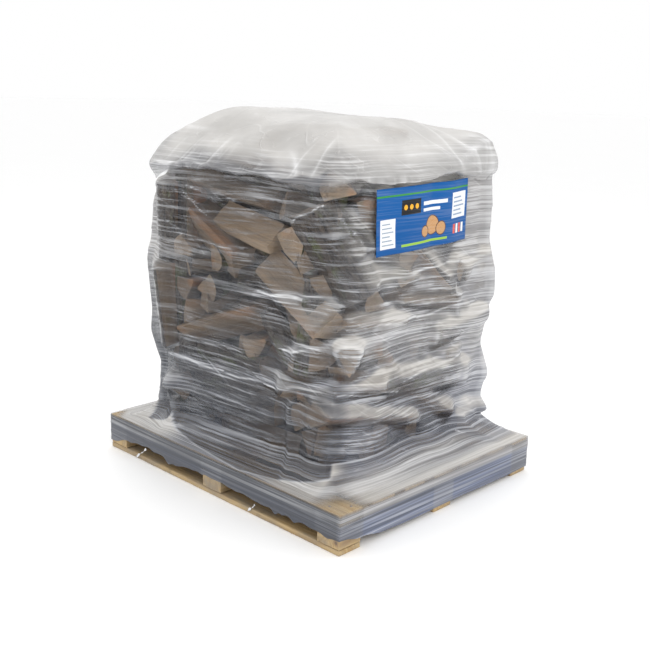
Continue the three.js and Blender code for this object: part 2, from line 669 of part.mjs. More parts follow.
const group = new THREE.Group();
group.add(pallet());
shown.forEach(({ solid, row, seed }) => {
  const name = `log_${String(seed).padStart(2, '0')}`;
  group.add(meshOfManifold(name, solid, material(row[11], 0.85)));
});
group.add(meshOfManifold('inner_logs', innerLogs(shown, heap), material(INNER_WOOD, 0.9)));
group.add(skinMesh('film_wrap', levels.map((l) => l.outer), levels.map((l) => l.inner), material(FILM_GREY, 0.3, 0.5)));
group.add(skirt(levels.at(-1)));
group.add(coverSheet(levels));
group.add(printedSheet(levels));
TAILS.forEach((ends, i) => group.add(filmTail(`film_tail_${i + 1}`, ends)));

export default group;
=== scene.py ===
import itertools
import json
import math

import bpy
import numpy as np
from mathutils import Matrix, Vector


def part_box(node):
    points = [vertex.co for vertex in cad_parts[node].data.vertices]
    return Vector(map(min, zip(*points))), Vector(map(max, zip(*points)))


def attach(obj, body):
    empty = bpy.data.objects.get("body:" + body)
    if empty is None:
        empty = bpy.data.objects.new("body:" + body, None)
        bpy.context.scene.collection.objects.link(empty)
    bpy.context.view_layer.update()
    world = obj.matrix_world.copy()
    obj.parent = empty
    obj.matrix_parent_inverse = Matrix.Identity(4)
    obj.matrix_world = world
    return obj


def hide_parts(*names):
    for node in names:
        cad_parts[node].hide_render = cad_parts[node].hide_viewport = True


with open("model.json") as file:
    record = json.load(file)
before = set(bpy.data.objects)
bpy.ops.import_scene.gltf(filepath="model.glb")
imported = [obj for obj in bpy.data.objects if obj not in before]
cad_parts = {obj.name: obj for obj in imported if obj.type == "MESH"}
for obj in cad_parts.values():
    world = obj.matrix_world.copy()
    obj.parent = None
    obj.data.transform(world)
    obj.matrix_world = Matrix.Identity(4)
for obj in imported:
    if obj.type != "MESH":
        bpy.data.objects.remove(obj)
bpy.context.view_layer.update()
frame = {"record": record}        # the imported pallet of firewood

bl_info = {
    "name": "Pallet of firewood",
    "version": (1, 0, 0),
    "blender": (4, 5, 0),
    "location": "View3D > Sidebar > Firewood",
    "description": "Builds a heaped load of split logs on a pallet, wrapped in stretch film",
    "category": "Object",
}

MM = 0.001

# Pallet, in millimetres
PALLET_LONG, PALLET_WIDE = 1200, 1000
BOARD_THICK, BOARD_WIDE, BLOCK_SIDE, BLOCK_HIGH = 18, 100, 95, 78
DECK_BOARDS = 7
DECK_TOP = 3 * BOARD_THICK + BLOCK_HIGH

# Load, in millimetres: a rectangle with round corners, and a crown above its shoulder
LOAD_HALF_X, LOAD_HALF_Y, LOAD_CORNER = 450, 400, 60
SHOULDER, CROWN_RISE, CROWN_EDGE = 1105, 157, 260
HUMPS = [(-230, -170, 130, 28), (440, 390, 110, 46)]    # x, y, width and height on the crown
GAP = 0.4
HEAP_FOOT, HEAP_TIER, HEAP_TIERS, HEAP_TRIES = 190, 96, 10, 40
HEAP_CLOSE, HEAP_DRAW = 0.165, 1.4
TOP_TRIES, TOP_CLEAR = 160, 14
FILL_TRIES, FILL_CLOSE = 1500, 0.14
CORNER_TRIES, CORNER_CLOSE = 700, 0.115
DEEP_TRIES, DEEP_CLOSE = 1500, 0.13
CORE_INSET, CORE_FOOT, CORE_TOP, CORE_CUT = 125, 134, 1060, 60
CORNER_STACK, CORNER_DEPTH = 3, 62

# Mesh of a log: stations, bark points, points on each split face and on the heart
SHOWN = (25, 13, 6, 3)
HEAPED = (9, 6, 2, 1)
DENSE = (61, 21, 15, 7)

# Rings that close a log's ends: share of the outline and how far out along the log, in millimetres
END_RINGS = [(0.45, 1.4), (0.9, 0.8)]

# Film, in millimetres
FILM_OFF, SAG = 2.5, 0.3
HOLD_FROM, HOLD_SLOPE = 330, 0.2
WRAP_FOOT, WRAP_TOP = 205, 1100
COVER_BULGE = 26
SKIRT_OFF, SKIRT_LIFT = 2.2, 2.5
PRINT_WIDE, PRINT_HIGH, PRINT_CENTER_Z, PRINT_CENTER_Y, PRINT_TURN = 475, 208, 964, 16, 0.03

# Waves of the cover over the ground plan, in rows of height, two wave numbers per metre and phase: its
# slow swell, its sharp folds, and where those folds show
SWELL_WAVES = [(4.5, 9, 5, 0.4), (3.5, -7, 12, 1.9), (2.4, 18, 9, 3.0), (1.4, -17, 24, 4.4)]
FOLD_WAVES = [(4.0, 6, 8, 0.2), (3.5, -9, 5, 2.6), (2.6, 13, -10, 4.0)]
FOLD_PLACES = [(1.0, 7, -6, 1.0), (0.8, -5, 9, 2.0)]

# Camera: the point it looks at, in metres, and its roll in degrees
LOOK_AT, CAMERA_ROLL = (0.0302, 0, 0.5223), 1.74

FRONT, RIGHT, BACK, LEFT = -90, 0, 90, 180
NEAR_CORNER, LEFT_CORNER, RIGHT_CORNER = -45, -135, 45

# Split shapes: half the wedge's angle in degrees, and how much of its heart is missing
WEDGE, BLUNT, SLAB, HALF_ROUND = (36, 0.08), (30, 0.4), (20, 0.62), (88, 0.05)

# Tones of the shown logs: 0 dark and weathered, 0.5 brown, 1 pale and fresh
DARK, BROWN, WARM, PALE = 0.08, 0.42, 0.62, 0.9

# The logs that show best, one row each: the side they lie on, place along it, height of the middle,
# lean, swing of the far end out of the load, roll, length, width, thickness, how far the outer edge
# stands proud of the load's side, split shape and tone.
LOG_ROWS = [
    (FRONT, -315, 803, 0, 80, 20, 330, 80, 84, 4, BLUNT, PALE),
    (LEFT_CORNER, 0, 870, 84, 0, 10, 310, 110, 80, 2, HALF_ROUND, BROWN),
    (LEFT_CORNER, 10, 590, 78, 4, 0, 300, 125, 90, 14, WEDGE, BROWN),
    (FRONT, -165, 858, -25, 4, 205, 310, 150, 125, 2, WEDGE, WARM),
    (FRONT, 5, 900, -7, 8, 150, 330, 90, 110, 6, BLUNT, PALE),
    (FRONT, 249, 715, -27, 6, 155, 345, 120, 115, 24, WEDGE, PALE),
    (FRONT, -113, 566, 20, 0, 195, 415, 115, 120, 8, WEDGE, BROWN),
    (FRONT, 165, 560, -48, 0, 20, 210, 80, 90, -30, WEDGE, WARM),
    (FRONT, -14, 325, 4, 0, 8, 430, 145, 110, 2, SLAB, BROWN),
    (FRONT, 165, 192, 0, -5, 126, 440, 115, 120, -12, WEDGE, WARM),
    (FRONT, -50, 446, 2, 0, 40, 330, 84, 95, -12, HALF_ROUND, BROWN),
    (FRONT, -322, 270, 8, 10, 170, 250, 120, 115, -14, WEDGE, BROWN),
    (FRONT, -90, 1020, -7, 0, 175, 420, 100, 110, -18, WEDGE, BROWN),
    (FRONT, 320, 497, 2, -28, 172, 200, 62, 90, -6, BLUNT, PALE),
    (NEAR_CORNER, 44, 437, 2, 0, 170, 320, 62, 100, -84, WEDGE, WARM),
    (NEAR_CORNER, 42, 868, -61, 0, 10, 310, 160, 120, -14, HALF_ROUND, DARK),
    (RIGHT, -202, 870, -35, 6, 8, 350, 125, 110, 4, HALF_ROUND, DARK),
    (RIGHT, -76, 772, 0, 84, 0, 320, 60, 105, 2, BLUNT, PALE),
    (RIGHT, 92, 775, -43, 5, 185, 220, 66, 80, 6, WEDGE, PALE),
    (RIGHT, -185, 635, -6, 0, 190, 290, 112, 112, -4, WEDGE, WARM),
    (RIGHT, 78, 690, -7, 0, 172, 290, 60, 100, 2, BLUNT, BROWN),
    (NEAR_CORNER, 77, 545, 0, 84, 90, 240, 76, 100, 6, WEDGE, WARM),
    (RIGHT, 90, 408, -6, 0, 12, 440, 88, 100, 2, SLAB, PALE),
    (RIGHT, -180, 318, -12, 0, 182, 430, 92, 110, 2, WEDGE, BROWN),
    (RIGHT, 128, 306, -26, 12, 180, 200, 80, 90, 6, WEDGE, PALE),
    (RIGHT, 262, 570, 9, 0, 0, 290, 108, 110, 6, HALF_ROUND, BROWN),
    (RIGHT_CORNER, 0, 875, 80, 0, 180, 410, 112, 100, 12, WEDGE, BROWN),
    (RIGHT_CORNER, 0, 400, -76, 0, 12, 300, 112, 100, 10, HALF_ROUND, BROWN),
    (BACK, 40, 640, 14, 0, 185, 430, 120, 115, 8, WEDGE, WARM),
    (LEFT, -60, 520, -18, 0, 176, 430, 118, 115, 8, WEDGE, WARM),
    (LEFT_CORNER, 0, 290, 12, 0, 184, 200, 110, 105, -24, WEDGE, BROWN),
]

# Heights of the film's torn lower hem and of the cover sheet's hem, step by step round the pallet,
# anticlockwise from the near corner, ten steps a side.
RIGHT_HEM = [46, 34, 19, 16, 15, 17, 18, 16, 15, 14]
BACK_HEM = [17, 40, 58, 66, 52, 61, 70, 47, 55, 38]
LEFT_HEM = [20, 16, 15, 17, 18, 16, 15, 14, 22, 38]
FRONT_HEM = [28, 50, 58, 60, 58, 60, 57, 52, 56, 50]
FILM_HEMS = RIGHT_HEM + BACK_HEM + LEFT_HEM + FRONT_HEM
RIGHT_COVER = [1060, 1084, 1078, 1078, 1080, 1080, 1080, 1083, 1083, 1070]
BACK_COVER = [1058, 1066, 1080, 1072, 1060, 1068, 1084, 1076, 1062, 1050]
LEFT_COVER = [1056, 1070, 1078, 1064, 1072, 1082, 1074, 1060, 1068, 1076]
FRONT_COVER = [1060, 1034, 1050, 1076, 1084, 1086, 1084, 1078, 1048, 1040]
COVER_HEMS = RIGHT_COVER + BACK_COVER + LEFT_COVER + FRONT_COVER
HEM_STEPS = 10

# Torn flaps that hang from the front hem: place along it, width and how far they hang down
HEM_FLAPS = [(-240, 18, 20), (-195, 34, 10), (318, 16, 17), (352, 12, 8), (405, 14, 11)]

# Where taut film, darkened by painted shade, ends on the front of the deck: outer line as x and y, and the
# line on its left
FOOT_LINE = [(-306, -440), (-90, -478), (138, -502), (330, -455), (462, -405)]
FOOT_LEFT = [(-306, -440), (-190, -365)]

# Where the film stands at the load's left and right corners: height, and reach in X and Y
LEFT_EDGE = [
    (194, 420), (225, 416), (252, 413), (368, 410), (406, 420), (481, 435), (556, 431), (666, 438),
    (739, 442), (812, 431), (919, 425), (954, 421), (1000, 408),
]
RIGHT_EDGE = [
    (225, 428), (283, 417), (322, 423), (362, 437), (475, 410), (551, 419), (626, 426), (664, 439),
    (737, 436), (791, 425), (845, 417), (988, 418), (1058, 412), (1094, 414),
]
EDGE_SKEW = 25

# White creases in the film: side, start along it and up, end along it and up, whiteness
CREASES = [
    (FRONT, -292, 1004, -140, 932, 1.0), (FRONT, -276, 1010, -150, 950, 0.8),
    (FRONT, -357, 914, -272, 841, 0.7),
    (FRONT, -272, 841, 29, 837, 0.8), (FRONT, -378, 408, -54, 405, 0.9), (FRONT, -54, 405, 234, 419, 0.8),
    (FRONT, 109, 712, 316, 725, 0.9), (FRONT, 222, 543, 400, 570, 0.9), (FRONT, -440, 727, -313, 726, 0.8),
    (FRONT, 300, 960, 390, 1015, 1.0), (FRONT, -404, 594, -174, 572, 0.6), (FRONT, -346, 494, 37, 496, 0.6),
    (FRONT, -411, 300, 91, 307, 0.6), (FRONT, -237, 1019, 32, 999, 0.7), (FRONT, -100, 980, 120, 955, 0.5),
    (RIGHT, -251, 776, 138, 795, 0.9), (RIGHT, 138, 795, 375, 794, 0.8), (RIGHT, -334, 644, 3, 630, 0.8),
    (RIGHT, 3, 630, 338, 644, 0.7), (RIGHT, -345, 423, -80, 392, 0.9), (RIGHT, -83, 434, 299, 460, 0.9),
    (RIGHT, -343, 974, -249, 881, 0.8), (RIGHT, -360, 990, -300, 900, 0.6),
]

# Milky veils, given as the creases are, where the film spans from one log to the next
VEILS = [
    (FRONT, 95, 702, 420, 738, 1.0), (FRONT, -171, 724, 95, 702, 0.6), (FRONT, 243, 548, 430, 600, 1.0),
    (FRONT, -358, 402, 246, 414, 0.8), (FRONT, 283, 432, 430, 466, 0.8), (FRONT, -335, 322, 332, 318, 0.5),
    (RIGHT, -394, 733, -105, 687, 0.7), (RIGHT, -388, 600, 20, 588, 1.0), (RIGHT, -382, 466, -84, 404, 0.6),
]

# Film tails on the front runner: start and end, as x and z
TAILS = [((-376, 54), (-434, 6)), ((224, 40), (191, 6))]

# Columns of the film surfaces along a long and a short side of the pallet, and rows of the wound film,
# of the skirt's slope and wall, of the cover's crown, bulge and tucked hem, and of the printed sheet
LONG_COLUMNS, SHORT_COLUMNS = 144, 120
SIDE_COLUMNS = [SHORT_COLUMNS, LONG_COLUMNS, SHORT_COLUMNS, LONG_COLUMNS]
WRAP_ROWS = 176
SLOPE_ROWS, WALL_ROWS = 52, 34
CROWN_ROWS, BULGE_ROWS, HEM_ROWS = 70, 14, 20
PRINT_ROWS, PRINT_COLUMNS = 40, 84


# Numbers and curves


def chance(n):
    """A repeatable number between 0 and 1 for every whole number."""
    s = np.sin(np.asarray(n, float) * 12.9898) * 43758.5453
    return s - np.floor(s)


def smooth_step(low, high, value):
    """0 below low and 1 above high, with an even curve between."""
    t = np.clip((value - low) / (high - low), 0, 1)
    return t * t * (3 - 2 * t)


def cloud(seed, shape, waves):
    """Smooth noise of unit spread on a grid that is closed in its columns. White noise is filtered by a
    bell curve whose width is one cycle over waves cells, a number for each direction; the rows are cut
    from a longer grid, so that the first and the last don't match."""
    full = (shape[0] + int(4 * waves[0]), shape[1])
    noise = np.random.default_rng(seed).standard_normal(full)
    down, across = (np.exp(-np.fft.fftfreq(n) * w * np.fft.fftfreq(n) * w * 4) for n, w in zip(full, waves))
    field = np.fft.ifftn(np.fft.fftn(noise) * (down[:, None] * across)).real[: shape[0]]
    return (field - field.mean()) / field.std()


def ridges(field):
    """Sharp crests where a noise field crosses zero, 0 away from them."""
    return np.clip(1 - np.abs(field) * 1.6, 0, 1) ** 2


def layers(*fields):
    """Several fields of numbers, spread to one shape, as the parts of one field of vectors."""
    return np.stack(np.broadcast_arrays(*fields), -1)


def steps(count):
    """Even steps up to 1, without 0, as a column: rows that follow on another part's last row."""
    return np.linspace(0, 1, count + 1)[1:, None]


# Meshes


def grid_faces(rows, columns, closed):
    """Quads of a grid of points, row by row. A closed grid joins its last column to its first."""
    r, c = np.meshgrid(np.arange(rows - 1), np.arange(columns - (not closed)), indexing="ij")
    a = r * columns + c
    b = r * columns + (c + 1) % columns
    return np.stack([a, b, b + columns, a + columns], -1).reshape(-1, 4)


def tube_faces(rows, columns):
    """Faces of a closed tube: the quads of its grid, and at each end a fan round one more point, the
    first of which follows the grid's points."""
    quads = grid_faces(rows, columns, True)
    i = np.arange(columns)
    j = (i + 1) % columns
    last = (rows - 1) * columns
    first_tip = rows * columns
    fans = [
        np.stack([j, i, np.full(columns, first_tip)], -1),
        np.stack([last + i, last + j, np.full(columns, first_tip + 1)], -1),
    ]
    return quads, np.concatenate(fans)


def tube_points(grid):
    """A tube's points and the middle of each end ring after them."""
    tips = np.stack([grid[0].mean(0), grid[-1].mean(0)])
    return np.concatenate([grid.reshape(-1, 3), tips])


def new_piece(name, points, quads, triangles=(), sharp=None, points_data=(), faces_data=()):
    """A mesh object from whole arrays. points_data and faces_data are name and array pairs, stored as
    vector attributes of points and faces. Edges sharper than sharp degrees stay crisp."""
    triangles = np.asarray(triangles, int).reshape(-1, 3)
    mesh = bpy.data.meshes.new(name)
    mesh.vertices.add(len(points))
    mesh.vertices.foreach_set("co", np.asarray(points, np.float32).ravel())
    corners = np.concatenate([quads.ravel(), triangles.ravel()])
    sizes = np.repeat([4, 3], [len(quads), len(triangles)])
    mesh.loops.add(len(corners))
    mesh.loops.foreach_set("vertex_index", corners.astype(np.int32))
    mesh.polygons.add(len(sizes))
    mesh.polygons.foreach_set("loop_start", (np.cumsum(sizes) - sizes).astype(np.int32))
    mesh.polygons.foreach_set("loop_total", sizes.astype(np.int32))
    mesh.update(calc_edges=True)
    mesh.polygons.foreach_set("use_smooth", np.ones(len(sizes), bool))
    if sharp is not None:
        mesh.set_sharp_from_angle(angle=math.radians(sharp))
    for domain, data in (("POINT", points_data), ("FACE", faces_data)):
        for label, values in data:
            layer = mesh.attributes.new(label, "FLOAT_VECTOR", domain)
            layer.data.foreach_set("vector", np.asarray(values, np.float32).ravel())
    piece = bpy.data.objects.new(name, mesh)
    bpy.context.scene.collection.objects.link(piece)
    return piece


def dress(piece, material, slot, *nodes):
    """Gives a finished piece its material and its place in the part."""
    piece.data.materials.append(material)
    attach(piece, "root")
    if nodes:
        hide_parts(*nodes)
    return piece


# Split logs


def split_outline(cut, arc, side=0, heart=0):
    """Outline across a split log of width and thickness 1: a slice of a round, from its heart's corner
    out along one split face, round the bark and back along the other, then across the heart."""
    half, missing = math.radians(cut[0]), cut[1]
    turn = np.linspace(-half, half, arc)
    bark = np.stack([np.sin(turn), np.cos(turn)], -1)
    lead = missing + (1 - missing) * np.arange(side + 1) / (side + 1)
    there, back = lead[:, None] * bark[0], lead[::-1, None] * bark[-1]
    across = back[-1] + (there[0] - back[-1]) * (np.arange(1, heart + 1) / (heart + 1))[:, None]
    raw = np.concatenate([there, bark, back, across])
    low, high = raw[:, 1].min(), raw[:, 1].max()
    scale = np.array([2 * raw[:, 0].max(), high - low])
    shift = np.array([0, (low + high) / 2])
    pith = -shift / scale
    return (raw - shift) / scale, pith


def log_axes(row):
    """The log's own directions: its axis, across it, its outward side, and the load's out and beside."""
    side, lean, swing = (math.radians(row[i]) for i in (0, 3, 4))
    out = np.array([math.cos(side), math.sin(side), 0])
    beside = np.array([-math.sin(side), math.cos(side), 0])
    axis = beside * math.cos(lean) + np.array([0, 0, math.sin(lean)])
    axis = axis * math.cos(swing) + out * math.sin(swing)
    outward = out - axis * out.dot(axis)
    outward /= np.linalg.norm(outward)
    return axis, np.cross(axis, outward), outward, out, beside


def log_skin(row, seed, stations, section, last_ring, bow=0.0):
    """Points of a log about its middle, a grid of stations by outline points. Each station's outline is
    the section times the log's width and thickness, fullest in the middle, turned a little from end to
    end, and sheared at the ends so that they are cut at a slant."""
    wide, thick, long = row[7], row[8], row[6]
    axis, across, outward = log_axes(row)[:3]
    t = np.asarray(stations, float)
    ring = np.where(t < 0, 0, last_ring)
    far = np.abs(t)
    full = 1 - far * (1 - (0.93 + 0.05 * chance(seed * 3 + ring)))
    twist = np.radians(row[5] + t * (6 * chance(seed * 5) - 3))
    a = section[None, :, 0] * wide * full[:, None]
    b = section[None, :, 1] * thick * full[:, None]
    slant = 0.16 * (chance(seed * 7 + ring) - 0.5)[:, None] * a * far[:, None]
    cos, sin = np.cos(twist)[:, None], np.sin(twist)[:, None]
    aa = a * cos - b * sin + bow * (1 - t * t)[:, None]
    bb = a * sin + b * cos
    down = (t * long / 2)[:, None] + slant
    return down[..., None] * axis + aa[..., None] * across + bb[..., None] * outward


def side_reach(face):
    """How far the load's side reaches from the centre line towards a face's angle in degrees."""
    turn = math.radians(face)
    straight_x = (LOAD_HALF_X - LOAD_CORNER) * abs(math.cos(turn))
    straight_y = (LOAD_HALF_Y - LOAD_CORNER) * abs(math.sin(turn))
    return straight_x + straight_y + LOAD_CORNER


def outside_by(x, y):
    """How far points lie outside the load's outline, less than zero inside it."""
    qx = np.abs(x) - (LOAD_HALF_X - LOAD_CORNER)
    qy = np.abs(y) - (LOAD_HALF_Y - LOAD_CORNER)
    past = np.hypot(np.maximum(qx, 0), np.maximum(qy, 0))
    return past + np.minimum(np.maximum(qx, qy), 0) - LOAD_CORNER


def crown_height(x, y):
    """Height of the load's top: a crown that falls to the shoulder, with two humps."""
    edge = 1 - np.clip(-outside_by(x, y) / CROWN_EDGE, 0, 1)
    height = SHOULDER + CROWN_RISE * (1 - edge**2)
    for at_x, at_y, wide, high in HUMPS:
        height = height + high * np.exp(-((x - at_x) ** 2 + (y - at_y) ** 2) / (2 * wide * wide))
    return height


def log_place(row, seed, fine):
    """Where a log's middle goes: its outer edge at the reach of its side, and never into the deck.
    Returns that point and the coarse points of the log in place."""
    stations, arc, last = ((-1, 0, 1), 5, 2) if fine else ((-1, 1), 3, 1)
    section = split_outline(row[10], arc)[0]
    points = log_skin(row, seed, stations, section, last)
    out, beside = log_axes(row)[3:]
    depth = side_reach(row[0]) + row[9] - (points @ out).max()
    lift = max(row[2], DECK_TOP + GAP - points[..., 2].min())
    middle = out * depth + beside * row[1] + np.array([0, 0, lift])
    return middle, points + middle


def middle_line(points):
    """Six points down the middle of a log."""
    start, end = points[0].mean(0), points[-1].mean(0)
    return start + np.linspace(0, 1, 6)[:, None] * (end - start)


class Heap:
    """Logs laid so far: rows, seeds, middles, and the middle lines that a new log has to clear."""

    def __init__(self):
        self.logs = []
        self.lines = np.zeros((0, 6, 3))
        self.sizes = np.zeros(0)

    def lay(self, row, seed, middle, points, fine):
        self.logs.append((row, seed, middle, fine))
        self.lines = np.concatenate([self.lines, middle_line(points)[None]])
        self.sizes = np.append(self.sizes, row[7] + row[8])

    def clears(self, points, size, close):
        gaps = np.linalg.norm(self.lines[:, :, None] - middle_line(points), axis=-1)
        return bool((gaps > close * (size + self.sizes)[:, None, None]).all())

    def offer(self, trial, seed, close=HEAP_CLOSE):
        """Lowers a trial log under the crown, draws it in to the load's side and keeps it if it clears."""
        placed = log_place(trial, seed, False)[1]
        high = (placed[..., 2] + TOP_CLEAR - crown_height(placed[..., 0], placed[..., 1])).max()
        past = outside_by(placed[..., 0], placed[..., 1]).max()
        row = list(trial)
        row[2] -= max(0, high)
        row[9] -= HEAP_DRAW * max(0, past)
        middle, points = log_place(row, seed, False)
        if self.clears(points, row[7] + row[8], close):
            self.lay(tuple(row), seed, middle, points, False)


def draws(seeds, count):
    """The next seeds, each with its place in the row and eleven repeatable chances."""
    for k, seed in enumerate(itertools.islice(seeds, count)):
        yield k, seed, chance(seed * 11 + np.arange(11))


def lay_heap():
    """The whole load: the rows that show best, then trial logs tier by tier round the load and across
    its top, then a second layer that lies deeper, and last logs that stand deep in the corners."""
    heap = Heap()
    for i, row in enumerate(LOG_ROWS):
        middle = log_place(row, i + 1, True)[0]
        heap.lay(row, i + 1, middle, log_place(row, i + 1, False)[1], True)
    seeds = itertools.count(101)
    for tier in range(HEAP_TIERS):
        for k, seed, c in draws(seeds, 8 * HEAP_TRIES):
            face = (k % 8) * 45
            swing = 75 + 15 * c[4] if c[0] < 0.3 else 24 * (c[4] - 0.5)
            long = 260 + 140 * c[6]
            flat = (long / 2) * math.cos(math.radians(swing))
            half = LOAD_HALF_X if face % 180 else LOAD_HALF_Y
            spread = 60 if face % 90 else half - 40 - flat
            proud = -4 - 36 * c[9] - max(0, 40 - 20 * tier)
            heap.offer((
                face, (c[1] * 2 - 1) * spread, HEAP_FOOT + tier * HEAP_TIER + 40 * (c[2] - 0.5),
                60 * (c[3] - 0.5), swing, 360 * c[5], long, 85 + 45 * c[7], 85 + 35 * c[8], proud,
                HALF_ROUND if c[10] < 0.25 else WEDGE, 0,
            ), seed)
    for k, seed, c in draws(seeds, TOP_TRIES):
        face, along, deep, wide = 360 * c[0], 300 * (c[1] - 0.5), 130 + 320 * c[2], 95 + 30 * c[3]
        middle = side_reach(face) - deep - wide / 2
        turn = math.radians(face)
        height = crown_height(middle * math.cos(turn), middle * math.sin(turn)) - wide / 2
        lean = 10 * (c[4] - 0.5)
        heap.offer((face, along, height, lean, 0, 360 * c[5], 330, wide, wide, -deep, WEDGE, 0), seed)
    for k, seed, c in draws(seeds, FILL_TRIES):
        swing = 80 if c[0] < 0.25 else 30 * (c[4] - 0.5)
        heap.offer((
            360 * c[1], 0, 190 + 880 * c[2], 70 * (c[3] - 0.5), swing, 360 * c[5], 250 + 120 * c[6],
            80 + 40 * c[7], 80 + 35 * c[8], -12 - 60 * c[9], HALF_ROUND if c[10] < 0.25 else WEDGE, 0,
        ), seed, FILL_CLOSE)
    for k, seed, c in draws(seeds, CORNER_TRIES):
        heap.offer((
            90 * (k % 4) + 45 + 30 * (c[1] - 0.5), 60 * (c[9] - 0.5), 180 + 880 * c[2], 80 * (c[3] - 0.5),
            70 + 20 * c[4], 360 * c[5], 260 + 90 * c[6], 85 + 40 * c[7], 85 + 30 * c[8], -45 - 50 * c[0],
            HALF_ROUND if c[10] < 0.3 else WEDGE, 0,
        ), seed, CORNER_CLOSE)
    for k, seed, c in draws(seeds, DEEP_TRIES):
        heap.offer((
            45 * (k % 8) + 30 * (c[1] - 0.5), 0, 180 + 880 * c[2], 70 * (c[3] - 0.5), 70 * (c[4] - 0.5),
            360 * c[5], 280 + 90 * c[6], 90 + 40 * c[7], 90 + 30 * c[8], -60 - 110 * c[9],
            HALF_ROUND if c[10] < 0.3 else WEDGE, 0,
        ), seed, DEEP_CLOSE)
    for k, seed, c in draws(seeds, 4 * CORNER_STACK):
        row = (90 * (k % 4) + 45, 30 * (c[0] - 0.5), 335 + 290 * (k // 4), 80 + 8 * c[1], 0, 360 * c[2],
               305, 125, 115, -CORNER_DEPTH - 20 * c[3], HALF_ROUND, 0)
        middle, points = log_place(row, seed, False)
        heap.lay(row, seed, middle, points, False)
    return heap.logs


def rough_log(row, seed, middle, detail):
    """One split log as a closed tube, in metres. The grid is stations by outline points, with the end
    stations drawn in to close the cut faces."""
    stations, arc, side, heart = detail
    section, pith = split_outline(row[10], arc, side, heart)
    long, size = row[6], np.array([row[7], row[8]])
    t = np.linspace(-1, 1, stations)
    bow = 5 * (chance(seed * 19) - 0.5)
    skin = log_skin(row, seed, t, section, 2 if seed <= len(LOG_ROWS) else 1, bow)
    count = len(section)
    down = t * long / 2
    bark = np.zeros(count)
    bark[side + 1 : side + 1 + arc] = 1
    axis = log_axes(row)[0]
    skin = skin + log_roughness(row, seed, section * size, down, bark)
    first, last = skin[0].mean(0), skin[-1].mean(0)
    ends = [first + share * (skin[0] - first) - axis * out for share, out in END_RINGS]
    ends += [last + share * (skin[-1] - last) + axis * out for share, out in END_RINGS[::-1]]
    grid = np.concatenate([ends[:2], skin, ends[2:]])
    rows = len(grid)
    from_pith = section * size - pith * size
    inner, outer = END_RINGS[0][0], END_RINGS[1][0]
    shrink = np.concatenate([[inner, outer], np.ones(stations), [outer, inner]])
    centre = from_pith.mean(0)
    local = centre + (from_pith - centre) * shrink[:, None, None]
    length = np.concatenate([[down[0]] * 2, down, [down[-1]] * 2])
    grain = np.concatenate([np.repeat(length[:, None], count, 1)[..., None], local], -1)
    quads, fans = tube_faces(rows, count)
    column = np.tile(np.arange(count), rows - 1)
    line = np.repeat(np.arange(rows - 1), count)
    is_end = (line < 2) | (line >= rows - 3)
    both = (bark > 0) & (np.roll(bark, -1) > 0)
    tone = row[11] if seed <= len(LOG_ROWS) else 0.15 + 0.6 * chance(seed * 31)
    kinds = layers(both[column] & ~is_end, is_end, tone).astype(float)
    fan_kinds = np.tile([0.0, 1.0, tone], (2 * count, 1))
    offset = np.array([chance(seed * 37), 0, 0]) * 7 + [seed * 0.37, 0, 0]
    points = (tube_points(grid) + middle) * MM
    return points, quads, fans, tube_points(grain) * MM + offset, np.concatenate([kinds, fan_kinds])


def log_roughness(row, seed, place, down, bark):
    """How far each point of a log stands off its smooth skin. Split faces carry fibre ridges, a sum of
    sines across the face whose phase wanders along it; the bark stands a little proud and is lumpy."""
    next_point, last_point = np.roll(place, -1, 0), np.roll(place, 1, 0)
    tangent = next_point - last_point
    normal = np.stack([-tangent[:, 1], tangent[:, 0]], -1)
    normal /= np.linalg.norm(normal, axis=1, keepdims=True) + 1e-9
    if (normal * (place - place.mean(0))).sum() < 0:
        normal = -normal
    run = np.cumsum(np.linalg.norm(place - last_point, axis=1))[None, :, None]
    down = down[:, None, None]
    k = np.arange(1, 6)
    phase = 6.283 * chance(seed * 23 + k)
    wander = 1.6 * np.sin(down * (0.011 + 0.012 * chance(seed * 29 + k)) + phase * 3)
    fibre = (np.sin(run * (0.045 * (1.7**k)) + wander + phase) / k).sum(-1)
    lump = (np.sin(run * 0.09 * k + phase) * np.sin(down * 0.021 * k + phase * 2) / k).sum(-1)
    rough = np.where(bark > 0, 1.2 + 1.4 * lump, 1.3 * fibre)
    across, outward = log_axes(row)[1:3]
    turn = math.radians(row[5])
    off_a = normal[:, 0] * math.cos(turn) - normal[:, 1] * math.sin(turn)
    off_b = normal[:, 0] * math.sin(turn) + normal[:, 1] * math.cos(turn)
    push = off_a[:, None] * across + off_b[:, None] * outward
    return rough[..., None] * push[None]


def facing_out(points, quads, triangles):
    """The same faces, turned round if they enclose a negative volume."""
    halves = np.concatenate([quads[:, [0, 1, 2]], quads[:, [0, 2, 3]], triangles])
    a, b, c = (points[halves[:, i]] for i in range(3))
    if np.einsum("ij,ij->i", a, np.cross(b, c)).sum() < 0:
        return quads[:, ::-1], triangles[:, ::-1]
    return quads, triangles


def joined(parts):
    """Several closed tubes as the arrays of one mesh: points, quads, triangles, grain and kinds."""
    quads, fans, quad_kinds, fan_kinds, start = [], [], [], [], 0
    for points, q, f, _, kinds in parts:
        q, f = facing_out(points, q, f)
        quads.append(q + start)
        fans.append(f + start)
        quad_kinds.append(kinds[: len(q)])
        fan_kinds.append(kinds[len(q) :])
        start += len(points)
    return (
        np.concatenate([p[0] for p in parts]), np.concatenate(quads), np.concatenate(fans),
        np.concatenate([p[3] for p in parts]), np.concatenate(quad_kinds + fan_kinds),
    )


